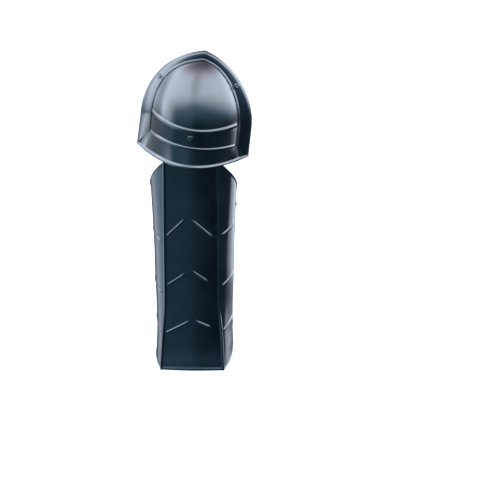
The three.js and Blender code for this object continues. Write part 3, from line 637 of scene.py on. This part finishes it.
# Shares of the flange's half width, of the loop's reach, of the arch's lean and of the drop.
KNEE_LOOP = [
    {"out": 0.94, "back": 0.34, "tilt": 0.9, "down": 0.35},
    {"out": 0.95, "back": 0.52, "tilt": 0.5, "down": 0.6},
    {"out": 0.91, "back": 0.7, "tilt": 0.15, "down": 0.8},
    {"out": 0.78, "back": 0.87, "tilt": 0.0, "down": 0.9},
    {"out": 0.56, "back": 0.97, "tilt": 0.0, "down": 1.0},
    {"out": 0.36, "back": 1.0, "tilt": 0.0, "down": 1.0},
]


def flange_spot(angle, across):
    return cup_point(lerp(CUP_SHOULDER, DOME_HEIGHT, math.sin(angle)), across)


def flange_normal(angle, across):
    return normal_of(flange_spot, angle, across)


def knee_half(side):
    ends = [flange_spot(KNEE_RIVET_ANGLE + turn, KNEE_RIVET_ACROSS) for turn in (0.5, -0.5)]
    radian = (ends[0] - ends[1]).length
    half_turn = KNEE_STRAP_WIDTH / 2 / radian
    angles = [KNEE_RIVET_ANGLE + half_turn * (2 * share - 1) for share in STRAP_SHARES]
    front = WALL + GAP
    stations = []
    for across in KNEE_TONGUE:
        depths = (front, front + STRAP)
        stations.append([
            behind(flange_spot, flange_normal, angle, side * across, depth)
            for depth in depths for angle in angles
        ])
    edge = flange_spot(KNEE_RIVET_ANGLE, side * 2)
    lean = (flange_spot(angles[-1], side * 2) - flange_spot(angles[0], side * 2)).normalized()
    centres = [
        Vector((
            (edge.x - side * front) * row["out"],
            KNEE_STRAP_REACH * row["back"],
            edge.z - KNEE_STRAP_DROP * row["down"],
        ))
        for row in KNEE_LOOP
    ]
    for k, (centre, row) in enumerate(zip(centres, KNEE_LOOP)):
        before = centres[k - 1] if k else edge + Vector((-side * front, front, 0))
        after = centres[k + 1] if k + 1 < len(centres) else centre + Vector((-side, 0, 0))
        width = Vector((0, 0, 1)).lerp(lean, row["tilt"]).normalized()
        out = (width.cross((after - before).normalized()) * -side).normalized()
        stations.append([
            centre + width * (share - 0.5) * KNEE_STRAP_WIDTH + out * offset
            for offset in (STRAP / 2, -STRAP / 2) for share in STRAP_SHARES
        ])
    return stations


knee_stations = knee_half(-1) + knee_half(1)[::-1]
strap_piece("knee_strap_webbing", knee_stations, KNEE_STRAP_WIDTH, cup_place, "knee_strap")

# %% Calf straps, two loops behind the calf
CALF_STRAP_WIDTH = 25
CALF_STRAP_REACH = 68
CALF_RIVET_ACROSS = 1.89
CALF_DROP = 88
CALF_RISE = 66
CALF_LEVELS = {"upper": PLATE_TOP - CALF_DROP, "lower": PLATE_BOTTOM + CALF_RISE}
CALF_TONGUE = (1.72, 1.8, 1.9, 1.99)
# Shares of the half width at the plate's edge, and of the way back to the loop's reach.
CALF_LOOP = ((0.985, 0.2), (0.93, 0.42), (0.82, 0.64), (0.66, 0.83), (0.48, 0.96), (0.34, 1.0))


def calf_stations(level):
    depth = WALL + GAP + STRAP / 2
    half_width = CALF_STRAP_WIDTH / 2
    path = []
    for across in CALF_TONGUE:
        low = behind(plate_at, plate_normal, level - half_width, across, depth)
        high = behind(plate_at, plate_normal, level + half_width, across, depth)
        path.append(Vector((min(low.x, high.x), low.y, level)))
    edge = path[-1].copy()
    path += [
        Vector((edge.x * out, lerp(edge.y, CALF_STRAP_REACH, back), level))
        for out, back in CALF_LOOP
    ]
    path += [Vector((-point.x, point.y, point.z)) for point in reversed(path)]
    stations = []
    for k, point in enumerate(path):
        run = (path[min(k + 1, len(path) - 1)] - path[max(k - 1, 0)]).normalized()
        out = Vector((run.y, -run.x, 0))
        stations.append([
            point + out * offset + Vector((0, 0, (share - 0.5) * CALF_STRAP_WIDTH))
            for offset in (STRAP / 2, -STRAP / 2) for share in STRAP_SHARES
        ])
    return stations


for name, level in CALF_LEVELS.items():
    strap_piece(
        f"{name}_calf_strap_webbing", calf_stations(level), CALF_STRAP_WIDTH, in_metres,
        f"{name}_calf_strap",
    )

# %% Link strap between the cup and the plate
LINK_WIDTH = 24
LINK_TOP = 36
LINK_FOOT = 18
LINK_RIVET_Z = 24.6
LINK_PLATE_DROPS = (4, 22)
LINK_PLATE = [PLATE_TOP - drop for drop in LINK_PLATE_DROPS]
from_cup = Matrix.Scale(1 / MM, 4) @ cup_place


def band_row(middle_z):
    """The cup row whose middle lies at a height on the band."""
    low = LOWER_RIDGE_Z - LOWER_RIDGE_DIP
    high = UPPER_RIDGE_Z - UPPER_RIDGE_DIP
    return (middle_z - low) / (high - low)


def link_stations():
    places = [(share - 0.5) * LINK_WIDTH for share in STRAP_SHARES]
    stations = []
    for height in (LINK_TOP, (LINK_TOP + LINK_FOOT) / 2, LINK_FOOT):
        row = band_row(height)
        width = cup_base(row, 1).x
        stations.append([
            from_cup @ behind(cup_base, cup_normal, row, x / width, depth)
            for depth in (WALL + GAP, WALL + GAP + STRAP) for x in places
        ])
    for height in LINK_PLATE:
        width = plate_at(height, 1).x
        stations.append([
            behind(plate_at, plate_normal, height, x / width, -depth)
            for depth in (GAP + STRAP, GAP) for x in places
        ])
    return stations


strap_piece("link_strap_webbing", link_stations(), LINK_WIDTH, in_metres, "link_strap")

# %% [markdown]
# ## Rivets and clasps
# Each rivet is a low turned head, a shank and a flat tail. It is spun from half of its outline,
# which is how it would be turned on a lathe. The clasps are plain moulded sleeves: a box whose long
# edges are bevelled, with a slot inset at both ends and bridged through for the strap.

# %% Rivets
RIVET_HEAD = 4.2
RIVET_RISE = 1.0
RIVET_DIMPLE = 0.5
RIVET_DIMPLE_RADIUS = 1.2
# The head's outline: radius, and height as a share of its rise.
RIVET_CROWN = ((1.9, 1.0), (2.9, 1.0), (3.8, 0.6))
RIVET_UNDERCUT = 0.25
RIVET_BRIM = 0.2
RIVET_SHANK = 2.0
RIVET_TAIL = 3.8
RIVET_TAIL_DEPTH = 1.0
RIVET_TAIL_SIDE = 0.7
RIVET_TAIL_ROUND = 0.4
RIVET_PLAY = 0.5
RIVET_EDGE = 0.15
RIVET_SIDES = 28


def rivet_piece(name, point, normal, grip, place, lift=0.0):
    """A rivet along +Z, spun full circle, then turned onto the wall that it goes through."""
    bm = bmesh.new()
    foot = lift + GAP
    tail = -(grip + RIVET_PLAY)
    dimple = foot + RIVET_RISE - RIVET_DIMPLE
    under = foot - RIVET_BRIM
    end = tail - RIVET_TAIL_DEPTH
    outline = [(0, dimple), (RIVET_DIMPLE_RADIUS, dimple)]
    outline += [(radius, foot + RIVET_RISE * share) for radius, share in RIVET_CROWN]
    outline += [(RIVET_HEAD, foot), (RIVET_HEAD - RIVET_UNDERCUT, under)]
    outline += [(RIVET_SHANK, under), (RIVET_SHANK, tail)]
    outline += [(RIVET_TAIL, tail), (RIVET_TAIL, tail - RIVET_TAIL_SIDE)]
    outline += [(RIVET_TAIL - RIVET_TAIL_ROUND, end), (0, end)]
    verts = [bm.verts.new((x, 0, z)) for x, z in outline]
    edges = [bm.edges.new(pair) for pair in zip(verts, verts[1:])]
    bmesh.ops.spin(
        bm, geom=verts + edges, cent=(0, 0, 0), axis=(0, 0, 1), angle=math.tau,
        steps=RIVET_SIDES, use_merge=True,
    )
    bmesh.ops.remove_doubles(bm, verts=bm.verts, dist=WELD)
    bmesh.ops.recalc_face_normals(bm, faces=bm.faces)
    turn = normal.to_track_quat("Z", "Y").to_matrix().to_4x4()
    bmesh.ops.transform(bm, matrix=place @ Matrix.Translation(point) @ turn, verts=bm.verts)
    piece = finished(f"{name}_turned", bm)
    soft_edges(piece, RIVET_EDGE, 2)
    fit(piece, "rivet_metal", name)


STRAP_GRIP = WALL + GAP + STRAP
for side, word in ((-1, "left"), (1, "right")):
    spot = flange_spot(KNEE_RIVET_ANGLE, side * KNEE_RIVET_ACROSS)
    normal = flange_normal(KNEE_RIVET_ANGLE, side * KNEE_RIVET_ACROSS)
    rivet_piece(f"knee_rivet_{word}", spot, normal, STRAP_GRIP, cup_place)
    for name, level in CALF_LEVELS.items():
        across = side * CALF_RIVET_ACROSS
        heights = [level + step * CALF_STRAP_WIDTH / 2 for step in (-1, 0, 1)]
        reach = [abs(plate_at(height, across).x) for height in heights]
        slack = reach[1] - min(reach[0], reach[2])
        spot = plate_at(level, across)
        normal = plate_normal(level, across)
        rivet_piece(f"{name}_calf_rivet_{word}", spot, normal, STRAP_GRIP + slack, in_metres)
link_row = band_row(LINK_RIVET_Z)
spot = cup_base(link_row, 0)
rivet_piece("link_rivet_cup", spot, cup_normal(link_row, 0), STRAP_GRIP, cup_place)
link_level = sum(LINK_PLATE) / 2
spot = plate_at(link_level, 0)
normal = plate_normal(link_level, 0)
rivet_piece("link_rivet_plate", spot, normal, WALL, in_metres, GAP + STRAP)

# %% Clasps
CLASP_LENGTH = 34
CLASP_WALL = 3
CLASP_CORNER = 1.8
CLASP_EDGE = 0.6
SLOT_EASE = 0.3
END_FACING = 0.9


def clasp_piece(name, strap_width, y, z, place):
    depth = STRAP + 2 * GAP + 2 * CLASP_WALL
    height = strap_width + 2 * GAP + 2 * CLASP_WALL
    bm = bmesh.new()
    bmesh.ops.create_cube(bm, size=1)
    bmesh.ops.scale(bm, vec=(CLASP_LENGTH, depth, height), verts=bm.verts)
    long_edges = [
        edge for edge in bm.edges
        if abs(edge.verts[0].co.x - edge.verts[1].co.x) > CLASP_LENGTH / 2
    ]
    bmesh.ops.bevel(
        bm, geom=long_edges, offset=CLASP_CORNER, segments=4, profile=0.5, affect="EDGES",
        material=-1,
    )
    ends = [face for face in bm.faces if abs(face.normal.x) > END_FACING]
    thickness = CLASP_WALL - SLOT_EASE
    bmesh.ops.inset_individual(bm, faces=ends, thickness=thickness, use_even_offset=True)
    holes = [edge for face in ends for edge in face.edges]
    bmesh.ops.delete(bm, geom=ends, context="FACES_ONLY")
    bmesh.ops.bridge_loops(bm, edges=holes)
    bmesh.ops.recalc_face_normals(bm, faces=bm.faces)
    bmesh.ops.transform(bm, matrix=place @ Matrix.Translation((0, y, z)), verts=bm.verts)
    piece = finished(f"{name}_moulded", bm)
    soft_edges(piece, CLASP_EDGE)
    fit(piece, "clasp_plastic", name)


knee_z = flange_spot(KNEE_RIVET_ANGLE, 2).z - KNEE_STRAP_DROP
clasp_piece("knee_clasp", KNEE_STRAP_WIDTH, KNEE_STRAP_REACH, knee_z, cup_place)
for name, level in CALF_LEVELS.items():
    clasp_piece(f"{name}_calf_clasp", CALF_STRAP_WIDTH, CALF_STRAP_REACH, level, in_metres)

# %% [markdown]
# ## Shared surface effects
# Moulded and turned surfaces share two effects: a slight unevenness that bends their reflections,
# and marks of handling, which are smudges, dust and hairline scratches. Each is a node group with
# named sockets, built once. They read Object coordinates, so the patterns stay on the pieces.

# %% Helpers for nodes
def add(tree, kind, values=None, **settings):
    made = tree.nodes.new("ShaderNode" + kind)
    for name, value in settings.items():
        setattr(made, name, value)
    for socket, value in (values or {}).items():
        made.inputs[socket].default_value = value
    return made


def noise(tree, source, scale, detail=2.0, roughness=0.5):
    made = add(tree, "TexNoise", {"Scale": scale, "Detail": detail, "Roughness": roughness})
    tree.links.new(source, made.inputs["Vector"])
    return made.outputs["Fac"]


def remap(tree, source, low, high, to_low=0.0, to_high=1.0):
    made = add(tree, "MapRange", {1: low, 2: high, 3: to_low, 4: to_high})
    tree.links.new(source, made.inputs[0])
    return made.outputs[0]


def calc(tree, operation, first, second=0.0):
    made = add(tree, "Math", operation=operation)
    for socket, value in zip(made.inputs, (first, second)):
        if isinstance(value, (int, float)):
            socket.default_value = value
        else:
            tree.links.new(value, socket)
    return made.outputs[0]


def new_group(name, inputs, outputs):
    tree = bpy.data.node_groups.new(name, "ShaderNodeTree")
    for label, value in inputs.items():
        socket = tree.interface.new_socket(label, in_out="INPUT", socket_type="NodeSocketFloat")
        socket.default_value = value
    for label in outputs:
        tree.interface.new_socket(label, in_out="OUTPUT", socket_type="NodeSocketFloat")
    return tree, tree.nodes.new("NodeGroupInput"), tree.nodes.new("NodeGroupOutput")


# %% Slight unevenness
WAVE_SCALE = 14
PEEL_SCALE = 900
uneven, group_in, group_out = new_group(
    "moulded unevenness", {"Wave": 0.35, "Peel": 0.02}, ["Height"]
)
where = add(uneven, "TexCoord").outputs["Object"]
wave = calc(uneven, "MULTIPLY", noise(uneven, where, WAVE_SCALE, 1.0), group_in.outputs["Wave"])
peel = calc(uneven, "MULTIPLY", noise(uneven, where, PEEL_SCALE, 2.0), group_in.outputs["Peel"])
uneven.links.new(calc(uneven, "ADD", wave, peel), group_out.inputs["Height"])
print("shared effect:", uneven.name)

# %% Marks of handling
# Scale of each pattern, and where in its noise the mark begins and is full.
SMUDGES = {"scale": 22, "range": (0.42, 0.68)}
SPECKS = {"scale": 420.0, "range": (0.13, 0.05)}
DUSTY_PATCHES = {"scale": 60, "range": (0.58, 0.7)}
HAIRLINES = {"scale": (30, 30, 1400), "turn": (0.5, 0.3, 0.2), "range": (0.69, 0.74)}
HAIRLINE_BREAKS = {"scale": 34, "range": (0.5, 0.62)}
handled, group_in, group_out = new_group(
    "handling", {"Dust": 0.5}, ["Smudge", "Specks", "Scratches"]
)
where = add(handled, "TexCoord").outputs["Object"]
smudge = remap(handled, noise(handled, where, SMUDGES["scale"], 5.0, 0.6), *SMUDGES["range"])
handled.links.new(smudge, group_out.inputs["Smudge"])
cells = add(handled, "TexVoronoi", {"Scale": SPECKS["scale"]})
handled.links.new(where, cells.inputs["Vector"])
specks = remap(handled, cells.outputs["Distance"], *SPECKS["range"])
patches = remap(handled, noise(handled, where, DUSTY_PATCHES["scale"]), *DUSTY_PATCHES["range"])
dust = calc(handled, "MULTIPLY", specks, patches)
dust = calc(handled, "MULTIPLY", dust, group_in.outputs["Dust"])
handled.links.new(dust, group_out.inputs["Specks"])
stretch = add(handled, "Mapping", {"Scale": HAIRLINES["scale"], "Rotation": HAIRLINES["turn"]})
handled.links.new(where, stretch.inputs["Vector"])
hairlines = remap(handled, noise(handled, stretch.outputs[0], 1.0, 1.0), *HAIRLINES["range"])
breaks = noise(handled, where, HAIRLINE_BREAKS["scale"])
breaks = remap(handled, breaks, *HAIRLINE_BREAKS["range"])
handled.links.new(calc(handled, "MULTIPLY", hairlines, breaks), group_out.inputs["Scratches"])
print("shared effect:", handled.name)


# %% [markdown]
# ## Finishes
# The pressed sheets are very dark blue-black plastic with a hard gloss: what shows on them is
# mostly what they mirror. The colour is nearly black, so the gloss, the slight waves in the surface
# and a few smudges carry the look. The clasps are the same plastic with a fine matt grain, the
# rivets are blackened steel, and the webbing is a dull black weave.

# %% Helpers for finishes
DUST_COLOUR = (0.16, 0.17, 0.18, 1)
SCRATCH_ROUGHNESS = 0.05


def new_material(name):
    material = bpy.data.materials.new(name)
    material.use_nodes = True
    tree = material.node_tree
    return material, tree, tree.nodes["Principled BSDF"]


def place_group(tree, group, **values):
    made = tree.nodes.new("ShaderNodeGroup")
    made.node_tree = group
    for label, value in values.items():
        made.inputs[label].default_value = value
    return made


def blend_colours(tree, share, dark, light):
    made = add(tree, "Mix", data_type="RGBA")
    made.inputs[6].default_value = dark
    made.inputs[7].default_value = light
    tree.links.new(share, made.inputs[0])
    return made.outputs[2]


def bumped(tree, shader, height, distance):
    bump = add(tree, "Bump", {"Distance": distance})
    tree.links.new(height, bump.inputs["Height"])
    tree.links.new(bump.outputs["Normal"], shader.inputs["Normal"])


def moulded(name, dark, light, roughness, spread, wave, peel, dust, metallic=0.0):
    material, tree, shader = new_material(name)
    marks = place_group(tree, handled, Dust=dust)
    surface = place_group(tree, uneven, Wave=wave, Peel=peel)
    tint = blend_colours(tree, marks.outputs["Smudge"], dark, light)
    speckled = add(tree, "Mix", data_type="RGBA")
    speckled.inputs[7].default_value = DUST_COLOUR
    tree.links.new(marks.outputs["Specks"], speckled.inputs[0])
    tree.links.new(tint, speckled.inputs[6])
    tree.links.new(speckled.outputs[2], shader.inputs["Base Color"])
    rough = remap(tree, marks.outputs["Smudge"], 0, 1, roughness, roughness + spread)
    scratched = calc(tree, "MULTIPLY", marks.outputs["Scratches"], SCRATCH_ROUGHNESS)
    tree.links.new(calc(tree, "ADD", rough, scratched), shader.inputs["Roughness"])
    shader.inputs["Metallic"].default_value = metallic
    bumped(tree, shader, surface.outputs["Height"], MM)
    return material, shader


# %% Glossy, matt and metal finishes
plastic_shell, shader = moulded(
    "glossy plastic", dark=(0.0008, 0.0018, 0.0028, 1), light=(0.0014, 0.0028, 0.0040, 1),
    roughness=0.2, spread=0.07, wave=0.4, peel=0.01, dust=0.35,
)
shader.inputs["Coat Weight"].default_value = 0.7
shader.inputs["Coat Roughness"].default_value = 0.14
clasp_plastic, shader = moulded(
    "matt plastic", dark=(0.005, 0.0055, 0.006, 1), light=(0.009, 0.0095, 0.01, 1),
    roughness=0.42, spread=0.14, wave=0.1, peel=0.09, dust=0.6,
)
shader.inputs["Specular IOR Level"].default_value = 0.3
rivet_metal, shader = moulded(
    "blackened steel", dark=(0.05, 0.055, 0.06, 1), light=(0.11, 0.11, 0.115, 1),
    roughness=0.28, spread=0.16, wave=0.1, peel=0.02, dust=0.4, metallic=1.0,
)
print("finishes:", plastic_shell.name, clasp_plastic.name, rivet_metal.name)

# %% Woven finish
WARP = 1.7 * MM
WEFT = 1.1 * MM
SLANT_SHARE = 0.6
FUZZ_SCALE = 1800
FUZZ_SHARE = 0.35
WEAVE_DEPTH = 0.35 * MM
webbing, tree, shader = new_material("black webbing")
along = add(tree, "UVMap", uv_map="UVMap").outputs["UV"]
split = add(tree, "SeparateXYZ")
tree.links.new(along, split.inputs[0])
turn_u = calc(tree, "MULTIPLY", split.outputs[0], math.tau / WARP)
turn_v = calc(tree, "MULTIPLY", split.outputs[1], math.tau / WEFT)
slant = calc(tree, "SINE", calc(tree, "ADD", turn_u, calc(tree, "MULTIPLY", turn_v, 0.5)))
thread = calc(tree, "SINE", turn_v)
slant = calc(tree, "MULTIPLY", slant, SLANT_SHARE)
thread = calc(tree, "MULTIPLY", thread, 1 - SLANT_SHARE)
weave = remap(tree, calc(tree, "ADD", slant, thread), -1, 1)
fuzz = noise(tree, add(tree, "TexCoord").outputs["Object"], FUZZ_SCALE, 3.0)
height = calc(tree, "ADD", weave, calc(tree, "MULTIPLY", fuzz, FUZZ_SHARE))
# The colour follows the weave's height: lighter on the raised threads and darker in the grooves
# between them, which is painted shade in the grooves.
weave_painted_shade = blend_colours(tree, weave, (0.0025, 0.0025, 0.003, 1), (0.013, 0.013, 0.014, 1))
tree.links.new(weave_painted_shade, shader.inputs["Base Color"])
shader.inputs["Roughness"].default_value = 0.88
shader.inputs["Sheen Weight"].default_value = 0.08
shader.inputs["Specular IOR Level"].default_value = 0.12
bumped(tree, shader, height, WEAVE_DEPTH)

FINISHES = {
    "plastic_shell": plastic_shell,
    "clasp_plastic": clasp_plastic,
    "rivet_metal": rivet_metal,
    "webbing": webbing,
}
for piece, slot in PARTS:
    piece.data.materials.append(FINISHES[slot])
print("finished pieces:", len(PARTS))

# %% [markdown]
# ## Camera
# The camera stands where the photograph was taken from: a little above the knee, looking slightly
# down, with a long lens. The guard then has the same size and place in the picture.

# %% Camera
IMAGE = 500
FOCAL_PIXELS = 1419
AZIMUTH = math.radians(2.5)
ELEVATION = math.radians(11)
DISTANCE = 2.241
SENSOR = 36
AIM_RIGHT = 0.087
AIM_UP = 0.008
back = Vector((
    math.sin(AZIMUTH) * math.cos(ELEVATION),
    -math.cos(AZIMUTH) * math.cos(ELEVATION),
    math.sin(ELEVATION),
))
right = Vector((math.cos(AZIMUTH), math.sin(AZIMUTH), 0))
target = right * AIM_RIGHT + Vector((0, 0, AIM_UP))
camera_data = bpy.data.cameras.new("camera")
camera_data.sensor_width = SENSOR
camera_data.lens = FOCAL_PIXELS * SENSOR / IMAGE
camera = bpy.data.objects.new("camera", camera_data)
camera.location = target + back * DISTANCE
camera.rotation_euler = (-back).to_track_quat("-Z", "Y").to_euler()
bpy.context.scene.collection.objects.link(camera)
bpy.context.scene.camera = camera
print("lens:", round(camera_data.lens, 1), "mm at", round(DISTANCE, 2), "m")

# %% [markdown]
# ## Floor and studio light
# A glossy black shape is drawn by its reflections, so the studio matters more than its lamps. The
# room is bright above and to the left, dark low in front and to the right, and pale behind. The
# camera itself sees only a pale room. Two soft lights, overhead and on the left, give the shadow
# on the floor.

# %% Floor
FLOOR_Z = -0.284
FLOOR_SIZE = 60
bm = bmesh.new()
bmesh.ops.create_grid(bm, x_segments=1, y_segments=1, size=FLOOR_SIZE)
bmesh.ops.translate(bm, vec=(0, 0, FLOOR_Z), verts=bm.verts)
floor = finished("floor", bm)
floor.visible_glossy = False
paint, tree, shader = new_material("floor paint")
shader.inputs["Base Color"].default_value = (0.42, 0.42, 0.42, 1)
shader.inputs["Roughness"].default_value = 0.9
floor.data.materials.append(paint)

# %% Directions of the room
world = bpy.data.worlds.new("studio")
world.use_nodes = True
bpy.context.scene.world = world
tree = world.node_tree
tree.nodes.clear()
direction = add(tree, "SeparateXYZ")
towards = add(tree, "TexCoord").outputs["Generated"]
tree.links.new(towards, direction.inputs[0])
x, y, z = direction.outputs


def smooth(source, low, high):
    made = add(tree, "MapRange", {1: low, 2: high}, interpolation_type="SMOOTHSTEP")
    tree.links.new(source, made.inputs[0])
    return made.outputs[0]


def facing(azimuth, elevation, edge, core):
    """A soft round patch of the room, seen at an azimuth and elevation in degrees."""
    az, el = math.radians(azimuth), math.radians(elevation)
    middle = (math.cos(el) * math.sin(az), -math.cos(el) * math.cos(az), math.sin(el))
    made = add(tree, "VectorMath", operation="DOT_PRODUCT")
    tree.links.new(towards, made.inputs[0])
    made.inputs[1].default_value = middle
    limits = [math.cos(math.radians(angle)) for angle in (edge, core)]
    return smooth(made.outputs["Value"], *limits)


def weighted(first, second, weight):
    return calc(tree, "ADD", first, calc(tree, "MULTIPLY", second, weight))


def dimmed(light, share, least):
    """A light that falls to its least where the share is full."""
    return calc(tree, "MULTIPLY", light, remap(tree, share, 0, 1, 1, least))


# %% Sky and walls of the room
SKY_STRENGTH = 5.2
SKY_TILT = 0.5
SKY_RANGE = (0.0, 0.5)
HORIZON = (-0.1, 0.14)
# Round dim patches: azimuth, elevation, outer edge and core in degrees, and what they leave.
ROOF_PLACE = (165, 66, 44, 8)
ROOF_LEAVES = 0.07
SKY_PATCHES = [((8, 64, 26, 4), 0.62), ((-138, 12, 40, 20), 0.3)]
FRONT_PATCH = ((20, -1, 26, 6), 0.1)
WALL_RIGHT = 0.08
WALL_LEFT = 0.3
WALL_SIDES = (0.5, -0.5)
WALL_BEHIND = ((0.2, 0.9), 0.4)
roof = facing(*ROOF_PLACE)
sky = smooth(weighted(z, y, SKY_TILT), *SKY_RANGE)
sky = calc(tree, "MULTIPLY", sky, smooth(z, *HORIZON))
sky = dimmed(sky, roof, ROOF_LEAVES)
for place, leaves in SKY_PATCHES:
    sky = dimmed(sky, facing(*place), leaves)
level = remap(tree, smooth(x, *WALL_SIDES), 0, 1, WALL_RIGHT, WALL_LEFT)
level = dimmed(level, smooth(y, *WALL_BEHIND[0]), WALL_BEHIND[1])
level = dimmed(level, facing(*FRONT_PATCH[0]), FRONT_PATCH[1])
level = weighted(level, sky, SKY_STRENGTH)
print("dim patches:", len(SKY_PATCHES) + 2)

# %% Lights of the room
# Strength of a light, and its soft edges: an axis, where it is dark and where it is bright.
ROOM_LIGHTS = [
    (2.7, [
        ("z", -0.015, 0.02), ("z", 0.45, 0.1),
        ("y", 0.28, 0.19), ("y", -0.5, -0.1),
        ("x", -0.3, -0.6),
    ]),
    (1.3, [("z", -0.1, -0.16), ("y", -0.5, -0.15), ("x", -0.45, -0.85)]),
    (1.9, [
        ("z", -0.08, -0.14), ("z", -0.235, -0.195),
        ("y", 0.36, 0.5), ("y", 1.05, 0.8),
        ("x", 0.05, 0.2),
    ]),
    (0.2, [("z", 0, -0.1), ("y", 0.6, 0.85), ("x", -0.1, 0.2)]),
    (0.8, [("z", -0.12, 0.5), ("y", 0.3, -0.2)]),
]
axes = {"x": x, "y": y, "z": z}
for strength, edges in ROOM_LIGHTS:
    light = 1.0
    for axis, dark, bright in edges:
        light = calc(tree, "MULTIPLY", smooth(axes[axis], dark, bright), light)
    level = weighted(level, light, strength)
print("lights of the room:", len(ROOM_LIGHTS))

# %% Tint of the room
DIM_TINT = (0.4, 1, 1.55, 1)
BRIGHT_TINT = (0.87, 1, 1.18, 1)
ROOF_TINT = (1.05, 0.94, 1.2, 1)
TINT_LEVELS = (0.2, 2.6)
TINT_FRONT = (-0.1, 0.5)
neutral = calc(tree, "MAXIMUM", remap(tree, level, *TINT_LEVELS), smooth(y, *TINT_FRONT))
tint = blend_colours(tree, neutral, DIM_TINT, BRIGHT_TINT)
room_colour = add(tree, "Mix", data_type="RGBA")
room_colour.inputs[7].default_value = ROOF_TINT
tree.links.new(roof, room_colour.inputs[0])
tree.links.new(tint, room_colour.inputs[6])

# %% What is mirrored and what is seen
mirrored = add(tree, "Background")
tree.links.new(room_colour.outputs[2], mirrored.inputs["Color"])
tree.links.new(level, mirrored.inputs["Strength"])
seen = add(tree, "Background", {"Color": (1, 1, 1, 1), "Strength": 1.0})
choice = add(tree, "MixShader")
tree.links.new(add(tree, "LightPath").outputs["Is Camera Ray"], choice.inputs[0])
tree.links.new(mirrored.outputs[0], choice.inputs[1])
tree.links.new(seen.outputs[0], choice.inputs[2])
tree.links.new(choice.outputs[0], add(tree, "OutputWorld").inputs["Surface"])
print("nodes in the room:", len(tree.nodes))

# %% Soft lights
LAMP_AIM = Vector((0, 0, 0.08))
LIGHTS = [
    {"name": "overhead", "size": 1.6, "place": (-0.3, -0.5, 2.2), "power": 22},
    {"name": "left side", "size": 1.2, "place": (-2.0, -0.4, 0.6), "power": 10},
]
for row in LIGHTS:
    lamp = bpy.data.lights.new(row["name"], "AREA")
    lamp.shape = "SQUARE"
    lamp.size = row["size"]
    lamp.energy = row["power"]
    light = bpy.data.objects.new(row["name"], lamp)
    light.location = row["place"]
    light.visible_glossy = False
    aim = (LAMP_AIM - light.location).to_track_quat("-Z", "Y")
    light.rotation_euler = aim.to_euler()
    bpy.context.scene.collection.objects.link(light)
bpy.context.scene.view_settings.view_transform = "Standard"
print("lights:", [row["name"] for row in LIGHTS])
